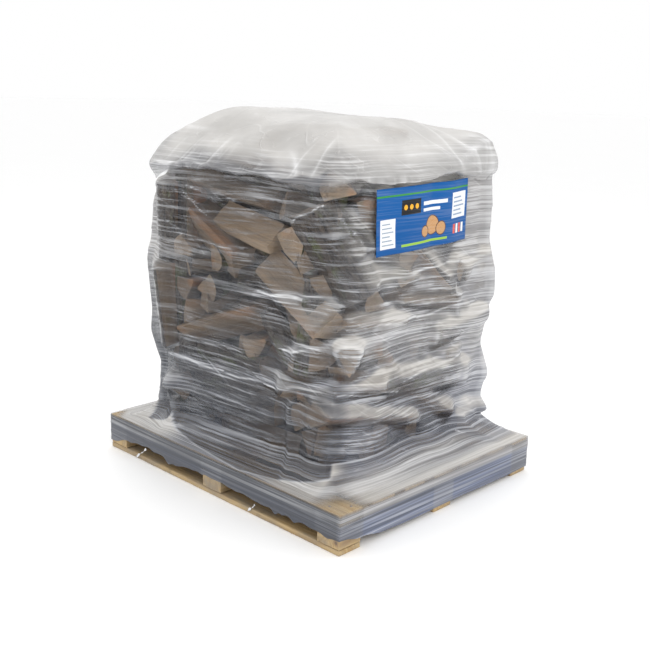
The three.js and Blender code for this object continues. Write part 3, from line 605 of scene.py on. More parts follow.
def core_block():
    """The dark middle that the deeper logs lie against: a block with cut corners and a lumpy skin."""
    x, y, cut = LOAD_HALF_X - CORE_INSET, LOAD_HALF_Y - CORE_INSET, CORE_CUT
    corners = np.array([
        (x, cut - y), (x, y - cut), (x - cut, y), (cut - x, y),
        (-x, y - cut), (-x, cut - y), (cut - x, -y), (x - cut, -y),
    ], float)
    steps = 4
    ring = np.concatenate([a + (b - a) * np.arange(steps)[:, None] / steps
                           for a, b in zip(corners, np.roll(corners, -1, 0))])
    heights = np.linspace(CORE_FOOT, CORE_TOP, 20)
    swell = 1 + 0.05 * cloud(3, (20, len(ring)), (4, 4))
    swell[0] = 1
    grid = np.concatenate([ring[None] * swell[..., None],
                           np.repeat(heights[:, None], len(ring), 1)[..., None]], -1)
    quads, fans = tube_faces(*grid.shape[:2])
    points = tube_points(grid) * MM
    kinds = np.tile([1.0, 0.0, 0.0], (len(quads) + len(fans), 1))
    return points, quads, fans, points * 1.0, kinds


# Film and sheets


def pallet_ring(out):
    """Points round the pallet's edge let out by a distance, anticlockwise from the near corner."""
    x, y = PALLET_LONG / 2 + out, PALLET_WIDE / 2 + out
    corners = np.array([(x, -y), (x, y), (-x, y), (-x, -y)], float)
    return np.concatenate([a + (b - a) * np.arange(n)[:, None] / n
                           for a, b, n in zip(corners, np.roll(corners, -1, 0), SIDE_COLUMNS)])


def ray_directions():
    """Level directions of length 1 from the centre line to every column."""
    rays = pallet_ring(0)
    return rays / np.linalg.norm(rays, axis=1, keepdims=True)


def hem_heights(hems):
    """A hem's heights at every column, a smooth curve through its steps."""
    place = [s * HEM_STEPS + HEM_STEPS * np.arange(n) / n for s, n in enumerate(SIDE_COLUMNS)]
    place = np.concatenate(place)
    values = np.array(hems, float)
    i = np.floor(place).astype(int)
    t = place - i
    t = t * t * (3 - 2 * t)
    return values[i % len(values)] * (1 - t) + values[(i + 1) % len(values)] * t


def film_field(cloud_points, heights, window, low_window):
    """Distance of a taut wrap from the centre line, heights by columns. At each height the logs' points
    give their reach in every direction; reaches fade with height at a fixed slope, so the film slopes
    from a proud log to its neighbours; the film is where a column's ray leaves the outline of all
    those reaches."""
    above, below, directions = 0.42, 1.5, 240
    turn = np.arange(directions) * 2 * np.pi / directions
    towards = np.stack([np.cos(turn), np.sin(turn)])
    reach = np.full((len(heights), directions), -1e9)
    for k, z in enumerate(heights):
        low = low_window if z == heights.min() else z - window
        near = cloud_points[(cloud_points[:, 2] >= low) & (cloud_points[:, 2] <= z + window)]
        reach[k] = (near[:, :2] @ towards).max(0)
    step = abs(heights[1] - heights[0])
    spread = reach.copy()
    for k in range(1, 30):
        spread[k:] = np.maximum(spread[k:], reach[:-k] - below * step * k)
        spread[:-k] = np.maximum(spread[:-k], reach[k:] - above * step * k)
    rays = pallet_ring(0)
    angle = np.arctan2(rays[:, 1], rays[:, 0])
    cosine = np.cos(angle[:, None] - turn[None])
    with np.errstate(divide="ignore"):
        share = np.where(cosine > 0.2, 1 / cosine, np.inf)
    field = np.stack([(row[None] * share).min(1) for row in spread])
    return blurred(field, 3)


def blurred(field, times):
    """A field of heights by columns, closed in its columns, with each value eased towards its neighbours."""
    for _ in range(times):
        field = (np.roll(field, 1, 1) + 2 * field + np.roll(field, -1, 1)) / 4
        field[1:-1] = (field[2:] + 2 * field[1:-1] + field[:-2]) / 4
    return field


def fold_bands(heights, columns, seed, period, high, share):
    """Overlapping bands of film: each stands out by high at its lower edge and eases back over a share
    of its height above. Slow noise bends them, and they fade in and out in patches."""
    shape = (len(heights), columns)
    bend = cloud(seed, shape, (54, 100))
    band = (heights[:, None] + 0.85 * period * bend) / period
    band = np.clip(1 - (band - np.floor(band)) / share, 0, 1)
    patch = smooth_step(-0.3, 1.0, cloud(seed + 1, shape, (26, 60)))
    return high * band * patch


def film_relief(heights, columns):
    """What the film's folds add to its distance: bands at two sizes and fine pull lines, none of them
    where the printed sheet lies."""
    shape = (len(heights), columns)
    relief_mm = fold_bands(heights, columns, 41, 150, 9, 0.45) + fold_bands(heights, columns, 45, 58, 5, 0.6)
    relief_mm = relief_mm + 1.6 * ridges(cloud(49, shape, (3.2, 34)))
    ring = pallet_ring(0)
    beside = smooth_step(260, 330, np.abs(ring[:, 1])) + (ring[:, 0] < 0)
    apart = smooth_step(115, 150, np.abs(heights - PRINT_CENTER_Z))[:, None]
    return relief_mm * np.clip(0.12 + beside[None] + apart, 0, 1)


def near_creases(grid, creases, thin):
    """How near each point of a film grid in metres lies to a crease, 1 on its line, and how white that
    makes it: a bell curve of the distance from the line, thinner towards both of its ends."""
    total = np.zeros(grid.shape[:2])
    x, y, z = np.moveaxis(grid / MM, -1, 0)
    for side, a0, z0, a1, z1, white in creases:
        along, there = (x, y < -300) if side == FRONT else (y, x > 300)
        run = np.array([a1 - a0, z1 - z0], float)
        long = np.hypot(*run)
        t = np.clip(((along - a0) * run[0] + (z - z0) * run[1]) / long**2, 0, 1)
        away = np.hypot(along - a0 - t * run[0], z - z0 - t * run[1] - 4 * np.sin(t * 9 + a0))
        total = np.maximum(total, white * there * np.exp(-((away / (thin * (0.5 + t * (1 - t) * 2))) ** 2)))
    return total


def ring_points(radius, heights):
    """Points at a distance along every column's ray, rows by columns, in metres."""
    flat = radius[..., None] * ray_directions()[None]
    z = np.broadcast_to(np.asarray(heights)[..., None] if np.ndim(heights) == 1 else heights, radius.shape)
    return np.concatenate([flat, z[..., None]], -1) * MM


def curvature(grid):
    """How sharply a surface bulges at each point of a closed grid, from its neighbours' middle."""
    around = (np.roll(grid, 1, 1) + np.roll(grid, -1, 1)) / 2
    below = grid.copy()
    below[1:-1] = (grid[2:] + grid[:-2]) / 2
    middle = (around + below) / 2
    out = grid[..., :2] / np.linalg.norm(grid[..., :2], axis=-1, keepdims=True)
    return ((grid - middle)[..., :2] * out).sum(-1)


# Shading


class Nodes:
    """Short hand for a node tree: each call adds a node, links or sets its inputs and returns it."""

    def __init__(self, tree):
        self.tree = tree

    def add(self, kind, inputs=None, **settings):
        node = self.tree.nodes.new(kind)
        for key, value in settings.items():
            setattr(node, key, value)
        for key, value in (inputs or {}).items():
            self.set(node.inputs[key], value)
        return node

    def set(self, socket, value):
        if isinstance(value, bpy.types.NodeSocket):
            self.tree.links.new(value, socket)
        else:
            socket.default_value = value

    def math(self, operation, a, b=0.0, c=0.0, clamp=False):
        node = self.add("ShaderNodeMath", {0: a, 1: b, 2: c}, operation=operation, use_clamp=clamp)
        return node.outputs[0]

    def plus(self, a, b, clamp=False):
        return self.math("ADD", a, b, clamp=clamp)

    def minus(self, a, b):
        return self.math("SUBTRACT", a, b)

    def times(self, a, b):
        return self.math("MULTIPLY", a, b)

    def ramp(self, value, low, high, to_low=0.0, to_high=1.0):
        inputs = {"Value": value, "From Min": low, "From Max": high, "To Min": to_low, "To Max": to_high}
        return self.add("ShaderNodeMapRange", inputs, interpolation_type="SMOOTHSTEP").outputs[0]

    def mix(self, share, a, b, blend="MIX"):
        node = self.add("ShaderNodeMix", data_type="RGBA", blend_type=blend)
        for index, value in ((0, share), (6, a), (7, b)):
            self.set(node.inputs[index], value)
        return node.outputs[2]

    def scaled(self, vector, x, y, z):
        node = self.add("ShaderNodeVectorMath", {0: vector, 1: (x, y, z)}, operation="MULTIPLY")
        return node.outputs[0]

    def noise(self, vector, scale=1.0, detail=2.0, roughness=0.5, distortion=0.0):
        inputs = {"Vector": vector, "Scale": scale, "Detail": detail, "Roughness": roughness}
        return self.add("ShaderNodeTexNoise", {**inputs, "Distortion": distortion}).outputs["Fac"]

    def stretched(self, vector, factors, *noise):
        """Noise on a vector whose three parts are multiplied by factors first."""
        return self.noise(self.scaled(vector, *factors), 1, *noise)

    def group(self, tree, **inputs):
        node = self.add("ShaderNodeGroup")
        node.node_tree = tree
        for key, value in inputs.items():
            self.set(node.inputs[key.replace("_", " ")], value)
        return node.outputs

    def attribute(self, name, output="Vector"):
        return self.add("ShaderNodeAttribute", attribute_name=name).outputs[output]

    def split(self, vector):
        return self.add("ShaderNodeSeparateXYZ", {0: vector}).outputs


def new_group(name, inputs, outputs):
    """An empty shader group. inputs are name, socket type and default; outputs are name and type."""
    tree = bpy.data.node_groups.new(name, "ShaderNodeTree")
    for label, kind, default in inputs:
        socket = tree.interface.new_socket(label, in_out="INPUT", socket_type=kind)
        if default is not None:
            socket.default_value = default
    for label, kind in outputs:
        tree.interface.new_socket(label, in_out="OUTPUT", socket_type=kind)
    nodes = Nodes(tree)
    return tree, nodes, nodes.add("NodeGroupInput").outputs, nodes.add("NodeGroupOutput").inputs


def new_material(name, **settings):
    """A material with one Principled BSDF. settings are constants for its own sockets."""
    material = bpy.data.materials.new(name)
    material.use_nodes = True
    nodes = Nodes(material.node_tree)
    shader = next(n for n in material.node_tree.nodes if n.type == "BSDF_PRINCIPLED")
    for key, value in settings.items():
        shader.inputs[key.replace("_", " ")].default_value = value
    return material, nodes, shader.inputs


def opaque(color):
    """A colour with its alpha of 1."""
    return (*color, 1)


FLOAT, COLOR, VECTOR = "NodeSocketFloat", "NodeSocketColor", "NodeSocketVector"


def split_wood_group():
    """Colour, roughness and relief of split firewood, from grain coordinates and the kind of face."""
    tree, n, i, o = new_group(
        "split wood",
        [("Grain", VECTOR, None), ("Kind", VECTOR, None), ("Dark", COLOR, (0.1, 0.05, 0.02, 1)),
         ("Pale", COLOR, (0.5, 0.3, 0.15, 1)), ("Bark", COLOR, (0.05, 0.04, 0.03, 1))],
        [("Color", COLOR), ("Roughness", FLOAT), ("Height", FLOAT)],
    )
    kind = n.split(i["Kind"])
    grain = n.split(i["Grain"])
    fibre = n.stretched(i["Grain"], (5, 150, 150), 4, 0.6)
    broad = n.stretched(i["Grain"], (2.5, 24, 24), 3, 0.5)
    out = n.math("SQRT", n.plus(n.times(grain[1], grain[1]), n.times(grain[2], grain[2])))
    wavy = n.plus(out, n.times(n.stretched(i["Grain"], (1, 16, 16), 2), 0.012))
    ring = n.math("SINE", n.times(wavy, 1900))
    ring = n.ramp(ring, -0.4, 1.0)
    heart = n.ramp(out, 0.045, 0.022)
    tone = n.plus(kind[2], n.times(n.minus(broad, 0.5), 0.9))
    tone = n.plus(tone, n.times(n.minus(fibre, 0.5), 1.1), clamp=True)
    wood = n.mix(tone, i["Dark"], i["Pale"])
    grey = n.stretched(i["Grain"], (3, 9, 9), 3, 0.6)
    wood = n.mix(n.ramp(grey, 0.4, 0.66, 0.1, 0.6), wood, (0.17, 0.15, 0.13, 1))
    stain = n.stretched(i["Grain"], (1.6, 2, 2), 1, 0.5)
    heart = n.times(heart, n.ramp(stain, 0.42, 0.6))
    wood = n.mix(n.times(heart, 0.6), wood, (0.36, 0.155, 0.055, 1))
    moss = n.stretched(i["Grain"], (6, 11, 11), 3, 0.6)
    wood = n.mix(n.ramp(moss, 0.62, 0.72, 0, 0.5), wood, (0.10, 0.115, 0.04, 1))
    cut = n.mix(n.times(ring, 0.5), wood, n.mix(0.55, wood, (0.75, 0.55, 0.36, 1)))
    ray = n.stretched(i["Grain"], (1, 60, 60), 3, 0.7, 1.5)
    cut = n.mix(n.ramp(ray, 0.62, 0.72, 0, 0.75), cut, (0.03, 0.018, 0.01, 1))
    furrow = n.stretched(i["Grain"], (9, 52, 52), 3, 0.55, 0.7)
    crack = n.ramp(n.math("ABSOLUTE", n.minus(furrow, 0.5)), 0.0, 0.06)
    bark = n.mix(crack, (0.020, 0.015, 0.012, 1), i["Bark"])
    scurf = n.stretched(i["Grain"], (22, 60, 60), 4, 0.7)
    bark = n.mix(n.ramp(scurf, 0.42, 0.75, 0, 0.7), bark, (0.17, 0.14, 0.11, 1))
    lichen = n.stretched(i["Grain"], (7, 14, 14), 3, 0.6)
    bark = n.mix(n.ramp(lichen, 0.54, 0.68, 0, 0.75), bark, (0.11, 0.125, 0.05, 1))
    color = n.mix(kind[1], wood, cut)
    n.set(o["Color"], n.mix(kind[0], color, bark))
    rough = n.math("MULTIPLY_ADD", fibre, 0.2, 0.62)
    n.set(o["Roughness"], rough)
    height = n.plus(n.times(fibre, 0.7), n.times(broad, 0.8))
    bark_height = n.plus(n.times(crack, 1.6), n.times(scurf, 1.6))
    mixed = n.add("ShaderNodeMix", {0: kind[0], 2: height, 3: bark_height}, data_type="FLOAT").outputs[0]
    n.set(o["Height"], mixed)
    return tree


def sawn_wood_group():
    """Colour and relief of rough sawn pine: growth lines, knots, saw marks and grey weathering."""
    tree, n, i, o = new_group(
        "sawn pine",
        [("Grain", VECTOR, None), ("Light", COLOR, (0.6, 0.4, 0.2, 1)), ("Late", COLOR, (0.4, 0.2, 0.1, 1)),
         ("Weather", FLOAT, 0.4)],
        [("Color", COLOR), ("Roughness", FLOAT), ("Height", FLOAT)],
    )
    grain = i["Grain"]
    flow = n.stretched(grain, (0.8, 9, 9), 2, 0.5)
    lines = n.math("SINE", n.times(flow, 90))
    lines = n.ramp(lines, -0.2, 1)
    fibre = n.stretched(grain, (8, 260, 260), 4, 0.6)
    cells = n.add("ShaderNodeTexVoronoi", {"Vector": n.scaled(grain, 3.2, 11, 11), "Scale": 1.0},
                  feature="F1")
    knot = n.ramp(cells.outputs[0], 0.13, 0.09)
    rim = n.ramp(cells.outputs[0], 0.22, 0.1)
    color = n.mix(n.times(lines, 0.55), i["Light"], i["Late"])
    color = n.mix(n.ramp(fibre, 0.35, 0.75, 0, 0.45), color, i["Late"])
    color = n.mix(n.times(rim, 0.5), color, (0.20, 0.085, 0.03, 1))
    color = n.mix(n.times(knot, 0.9), color, (0.055, 0.022, 0.01, 1))
    grey = n.stretched(grain, (4, 12, 12), 4, 0.65)
    color = n.mix(n.times(n.ramp(grey, 0.35, 0.7), i["Weather"]), color, (0.23, 0.21, 0.185, 1))
    dirt = n.stretched(grain, (9, 22, 22), 4, 0.7)
    color = n.mix(n.ramp(dirt, 0.6, 0.8, 0, 0.55), color, (0.07, 0.055, 0.04, 1))
    n.set(o["Color"], color)
    n.set(o["Roughness"], n.math("MULTIPLY_ADD", fibre, 0.2, 0.65))
    saw = n.math("SINE", n.times(n.split(grain)[0], 900))
    height = n.plus(n.times(fibre, 1.2), n.times(saw, 0.12))
    n.set(o["Height"], n.minus(height, n.times(lines, 0.35)))
    return tree


def film_group():
    """Streaks of wound stretch film. Place runs along the film in X and Y and down it in Z. Puts out how
    milky the film is; its white lines, which are milky streaks and partly painted highlights where folds
    catch the light; its dark lines (Shade), which are painted shadow lines between the folds; and its relief."""
    tree, n, i, o = new_group(
        "film streaks",
        [("Place", VECTOR, None), ("Streaks", FLOAT, 0.6), ("Haze", FLOAT, 0.2), ("Wander", FLOAT, 0.5)],
        [("Milk", FLOAT), ("Height", FLOAT), ("Line", FLOAT), ("Shade", FLOAT)],
    )
    place = n.split(i["Place"])
    sway = n.stretched(i["Place"], (2.3, 2.3, 4.5), 2)
    down = n.plus(place[2], n.times(sway, n.times(i["Wander"], 0.035)))
    bent = n.add("ShaderNodeCombineXYZ", {0: place[0], 1: place[1], 2: down}).outputs[0]
    fine = n.stretched(bent, (2.8, 2.8, 150), 2, 0.6)
    band = n.stretched(bent, (2.2, 2.2, 80), 2, 0.6)
    wide = n.stretched(bent, (2.6, 2.6, 15), 2, 0.5)
    tilt = n.plus(down, n.times(n.plus(place[0], place[1]), 0.4))
    slope = n.add("ShaderNodeCombineXYZ", {0: place[0], 1: place[1], 2: tilt}).outputs[0]
    cross = n.stretched(slope, (4.5, 4.5, 95), 2, 0.6, 0.3)
    patch = n.stretched(i["Place"], (5, 5, 9), 3, 0.55)
    # White lines: milky streaks, partly a painted highlight where the folds catch the light
    lines = n.times(n.ramp(fine, 0.49, 0.60), 0.75)
    lines = n.plus(lines, n.times(n.ramp(band, 0.52, 0.64), 0.42))
    lines = n.plus(lines, n.times(n.ramp(cross, 0.58, 0.78), i["Wander"]))
    lines = n.times(lines, n.ramp(patch, 0.34, 0.64, 0.4, 1.1))
    milk = n.times(lines, i["Streaks"])
    milk = n.plus(milk, n.times(n.ramp(wide, 0.3, 0.75, 0.5, 1.5), i["Haze"]), clamp=True)
    n.set(o["Milk"], milk)
    n.set(o["Line"], lines)
    # Shade: painted shadow lines, dark streaks between the folds
    shade = n.plus(n.ramp(band, 0.48, 0.38, 0, 0.45), n.ramp(fine, 0.49, 0.40, 0, 0.6), clamp=True)
    n.set(o["Shade"], shade)
    height = n.plus(n.times(fine, 0.6), n.times(band, 1.7))
    height = n.plus(height, n.times(wide, 2.5))
    n.set(o["Height"], n.plus(height, n.times(cross, 1.0)))
    return tree


def crumple_group():
    """Crumpled plastic: sparse sharp creases at two sizes and soft clouds, from a place in metres."""
    tree, n, i, o = new_group(
        "crumpled plastic", [("Place", VECTOR, None)],
        [("Crease", FLOAT), ("Cloud", FLOAT), ("Height", FLOAT)],
    )
    creases = []
    for scale, thin in ((6, 0.016), (17, 0.022)):
        field = n.stretched(i["Place"], (scale, scale * 0.7, scale * 1.5), 1, 0.4)
        patch = n.stretched(i["Place"], (scale * 0.6, scale * 0.7, scale * 0.5), 2, 0.5)
        near = n.math("ABSOLUTE", n.minus(field, 0.5))
        creases.append(n.times(n.ramp(near, thin, 0.0), n.ramp(patch, 0.48, 0.62)))
    soft = n.stretched(i["Place"], (9, 9, 14), 3, 0.5)
    height = n.plus(n.times(creases[0], 1.2), n.times(creases[1], 0.7))
    n.set(o["Height"], n.plus(height, n.times(soft, 4.0)))
    n.set(o["Crease"], n.math("MAXIMUM", creases[0], n.times(creases[1], 0.7)))
    n.set(o["Cloud"], n.stretched(i["Place"], (3.5, 3.5, 5), 3, 0.55))
    return tree


def relief(n, inputs, height, distance, strength=1.0):
    """A bump from a height field, in metres, into a shader's Normal."""
    bump = n.add("ShaderNodeBump", {"Height": height, "Distance": distance, "Strength": strength})
    n.set(inputs["Normal"], bump.outputs[0])


GROUPS = {}
MAKERS = {"split": split_wood_group, "sawn": sawn_wood_group, "film": film_group, "crumple": crumple_group}


def group(name):
    """A shared shader group, made the first time it is asked for."""
    if name not in GROUPS:
        GROUPS[name] = MAKERS[name]()
    return GROUPS[name]


def log_material(settings, name):
    material, n, shader = new_material(name, Specular_IOR_Level=0.25)
    wood = n.group(group("split"), Grain=n.attribute("log_grain"), Kind=n.attribute("log_kind"),
                   Dark=opaque(settings.dark), Pale=opaque(settings.pale), Bark=opaque(settings.bark))
    n.set(shader["Base Color"], wood["Color"])
    n.set(shader["Roughness"], wood["Roughness"])
    relief(n, shader, wood["Height"], 0.0012)
    return material


def sawn_material(name, light, late, weather):
    material, n, shader = new_material(name, Specular_IOR_Level=0.2)
    wood = n.group(group("sawn"), Grain=n.attribute("grain"), Light=light, Late=late, Weather=weather)
    n.set(shader["Base Color"], wood["Color"])
    n.set(shader["Roughness"], wood["Roughness"])
    relief(n, shader, wood["Height"], 0.0006)
    return material


def film_material(name, settings, streaks, haze, wander, relief_mm):
    """Clear film that turns milky in streaks, along creases, at a grazing view and where it stands off the
    logs. The attribute film_look holds the haze, the whiteness and how much film there is, and film_tone how
    pale, how blue and how dark it is. The pale tone is partly painted light, the blue tone is partly painted
    shade, the dark tone is painted shade, and the dark streak lines are painted shadow lines."""
    material, n, shader = new_material(name, Roughness=0.22, IOR=1.5)
    look = n.split(n.attribute("film_look"))
    tone = n.split(n.attribute("film_tone"))
    film = n.group(group("film"), Place=n.attribute("film_place"), Streaks=streaks, Haze=haze, Wander=wander)
    graze = n.add("ShaderNodeLayerWeight", {"Blend": 0.5}).outputs["Facing"]
    milk = n.plus(film["Milk"], n.times(look[0], settings.gap_haze))
    milk = n.plus(milk, n.times(look[1], settings.crease_white))
    milk = n.plus(milk, n.times(film["Shade"], 0.28))
    milk = n.plus(milk, n.times(n.math("POWER", graze, 3), 0.35))
    milk = n.times(milk, look[2])
    n.set(shader["Alpha"], n.math("MINIMUM", n.math("MAXIMUM", milk, 0.0), 0.95))
    # White from the streak lines and from film_look's whiteness, partly painted highlight
    white = n.plus(n.times(film["Line"], 0.6), n.times(look[1], 0.9), clamp=True)
    color = n.mix(tone[0], opaque(settings.tint), opaque(settings.pale))
    color = n.mix(tone[1], color, opaque(settings.blue))
    # Painted shade: the dark tone turns the film near black where shade falls on it
    color = n.mix(n.times(tone[2], 0.88), color, (0.045, 0.05, 0.062, 1))
    calm = n.math("MULTIPLY_ADD", tone[0], -0.6, 1.0)
    # Painted shade: the dark streak lines darken the film, less where it is pale
    shade = n.times(n.times(film["Shade"], 0.8), calm)
    color = n.mix(shade, color, (0.05, 0.052, 0.058, 1))
    plain = n.plus(n.times(tone[2], 0.55), n.times(tone[1], 0.3))
    white = n.times(white, n.times(calm, n.minus(1.0, plain)))
    n.set(shader["Base Color"], n.mix(white, color, (0.80, 0.81, 0.83, 1)))
    relief(n, shader, film["Height"], relief_mm * MM)
    return material


# Settings


def color_property(name, description, default):
    return bpy.props.FloatVectorProperty(
        name=name, description=description, subtype="COLOR", size=3, default=default, min=0, max=1)


class LogSettings(bpy.types.PropertyGroup):
    dark: color_property(
        name="Weathered wood", description="Colour of old split faces",
        default=(0.085, 0.052, 0.030))
    pale: color_property(
        name="Fresh wood", description="Colour of fresh split faces",
        default=(0.37, 0.275, 0.185))
    bark: color_property(
        name="Bark", description="Colour of the bark",
        default=(0.075, 0.058, 0.045))


class PalletSettings(bpy.types.PropertyGroup):
    light: color_property(
        name="Board", description="Colour of the boards between their growth lines",
        default=(0.52, 0.385, 0.205))
    late: color_property(
        name="Growth lines", description="Colour of the boards' growth lines",
        default=(0.34, 0.215, 0.095))
    worn: bpy.props.FloatProperty(
        name="Worn edge", description="How far the boards' edges are rounded", subtype="DISTANCE",
        unit="LENGTH", default=0.0025, min=0.0005, max=0.006)
    nail: bpy.props.FloatProperty(
        name="Nail head", description="Diameter of a nail head", subtype="DISTANCE", unit="LENGTH",
        default=0.009, min=0.004, max=0.015)


class FilmSettings(bpy.types.PropertyGroup):
    tint: color_property(
        name="Film", description="Colour of the film over the load",
        default=(0.23, 0.235, 0.25))
    # Partly painted light: this pale colour is put where the film faces up and on the right side, where light
    # falls
    pale: color_property(
        name="Pale film", description="Colour of the film in bright milky places",
        default=(0.60, 0.575, 0.54))
    # Partly painted shade: the layered film colour also stands for the shade in the gaps behind the film
    blue: color_property(
        name="Layered film", description="Colour of many layers of film over a dark gap",
        default=(0.16, 0.195, 0.31))
    streaks: bpy.props.FloatProperty(
        name="Streaks", description="How white the film's streaks are", default=0.5, min=0, max=1)
    haze: bpy.props.FloatProperty(
        name="Haze", description="How milky the film is between its streaks", default=0.06, min=0, max=1)
    gap_haze: bpy.props.FloatProperty(
        name="Haze over gaps", description="How much milkier the film is where it stands off the logs",
        default=0.48, min=0, max=1)
    crease_white: bpy.props.FloatProperty(
        name="White creases", description="How white the film is along its creases", default=0.5,
        min=0, max=1)


class SheetSettings(bpy.types.PropertyGroup):
    cover: color_property(
        name="Cover", description="Colour of the cover sheet",
        default=(0.56, 0.545, 0.525))
    # Painted shade: the colour of the cover's hanging side where it lies in shade
    side: color_property(
        name="Cover's side", description="Colour of the cover sheet where it hangs over dark gaps",
        default=(0.14, 0.145, 0.16))
    ground: color_property(
        name="Print ground", description="Colour of the printed sheet's ground",
        default=(0.002, 0.085, 0.30))
    panel: color_property(
        name="Print panels", description="Colour of the printed sheet's panels",
        default=(0.80, 0.82, 0.84))


class StageSettings(bpy.types.PropertyGroup):
    azimuth: bpy.props.FloatProperty(
        name="Azimuth", description="The camera's angle round the pallet", subtype="ANGLE",
        default=math.radians(44.02))
    elevation: bpy.props.FloatProperty(
        name="Elevation", description="The camera's angle above the horizon", subtype="ANGLE",
        default=math.radians(14.09))
    distance: bpy.props.FloatProperty(
        name="Distance", description="From the camera to the point it looks at", subtype="DISTANCE",
        unit="LENGTH", default=3.4397, min=0.5)
    lens: bpy.props.FloatProperty(
        name="Lens", description="The camera's focal length in millimetres", default=52.64, min=10)
    floor: color_property(
        name="Floor", description="Colour of the floor",
        default=(0.985, 0.985, 0.985))


# Operators

STATE = {}


def load():
    """The heap, laid once."""
    if "heap" not in STATE:
        STATE["heap"] = lay_heap()
    return STATE["heap"]


def touching_points():
    """Points in millimetres that the film lies on: all over the logs and across their end faces, and
    the edges that it is drawn out to at two corners."""
    if "touch" not in STATE:
        share = np.linspace(0.1, 0.9, 8)[:, None, None]
        clouds = []
        for log in load():
            points = rough_log(*log[:3], DENSE)[0] / MM
            rings = points[:-2].reshape(DENSE[0] + 4, -1, 3)
            clouds.append(points)
            for ring, tip in ((rings[2], points[-2]), (rings[-3], points[-1])):
                clouds.append((tip + (ring - tip) * share).reshape(-1, 3))
        for edge, side in ((LEFT_EDGE, -1), (RIGHT_EDGE, 1)):
            z = np.arange(edge[0][0], edge[-1][0], 4.0)
            far = np.interp(z, *zip(*edge))
            clouds.append(np.stack([side * (far + EDGE_SKEW), side * (far - EDGE_SKEW), z], -1))
        STATE["touch"] = np.concatenate(clouds)
    return STATE["touch"]


def wrap_rows():
    """The film's heights from the top down, its distance from the centre line in every column, and the
    gap between it and the logs. Where it spans a gap it sags in towards the logs by a share of it."""
    if "wrap" not in STATE:
        heights = np.linspace(WRAP_TOP, WRAP_FOOT, WRAP_ROWS)
        taut = film_field(touching_points(), heights, 10, 0)
        reach = log_reach(heights)
        gap = np.clip(blurred(taut - reach, 8), 0, 90)
        field = blurred(np.maximum(blurred(taut - SAG * gap, 1), widened(widened(reach))), 3) + FILM_OFF
        below = np.maximum(HOLD_FROM - heights, 0)[:, None]
        held = field[np.argmin(np.abs(heights - HOLD_FROM))][None] - HOLD_SLOPE * below
        field = np.where(below > 0, np.maximum(field, held), field)
        flare = 26 * side_share(0) * smooth_step(300, WRAP_FOOT, heights)[:, None]
        field = field + flare + film_relief(heights, field.shape[1]) * (1 - 0.75 * sum(far_corners()))
        STATE["wrap"] = heights, field, np.maximum(field - reach, 0)
    return STATE["wrap"]


def widened(reach):
    """Every cell's reach or that of the farthest cell next to it."""
    across = np.maximum(np.maximum(np.roll(reach, 1, 1), np.roll(reach, -1, 1)), reach)
    wide = across.copy()
    wide[1:] = np.maximum(wide[1:], across[:-1])
    wide[:-1] = np.maximum(wide[:-1], across[1:])
    return wide


def log_reach(heights):
    """How far the logs themselves reach in every column and at every height: points are put in the
    cells of the film's grid, and an empty cell takes its neighbours' reach."""
    touch = touching_points()
    rays = pallet_ring(0)
    angle = np.unwrap(np.arctan2(rays[:, 1], rays[:, 0]))
    turn = np.arctan2(touch[:, 1], touch[:, 0])
    turn = np.where(turn < angle[0], turn + 2 * np.pi, turn)
    column = np.clip(np.searchsorted(angle, turn) - 1, 0, len(angle) - 1)
    step = heights[0] - heights[1]
    line = np.round((heights[0] - touch[:, 2]) / step).astype(int)
    inside = (line >= 0) & (line < len(heights))
    reach = np.zeros((len(heights), len(angle)))
    np.maximum.at(reach, (line[inside], column[inside]), np.hypot(touch[inside, 0], touch[inside, 1]))
    for _ in range(6):
        up, down = np.roll(reach, 1, 0), np.roll(reach, -1, 0)
        around = np.maximum(np.maximum(up, down), np.maximum(np.roll(reach, 1, 1), np.roll(reach, -1, 1)))
        reach = np.where(reach == 0, around, reach)
    return reach


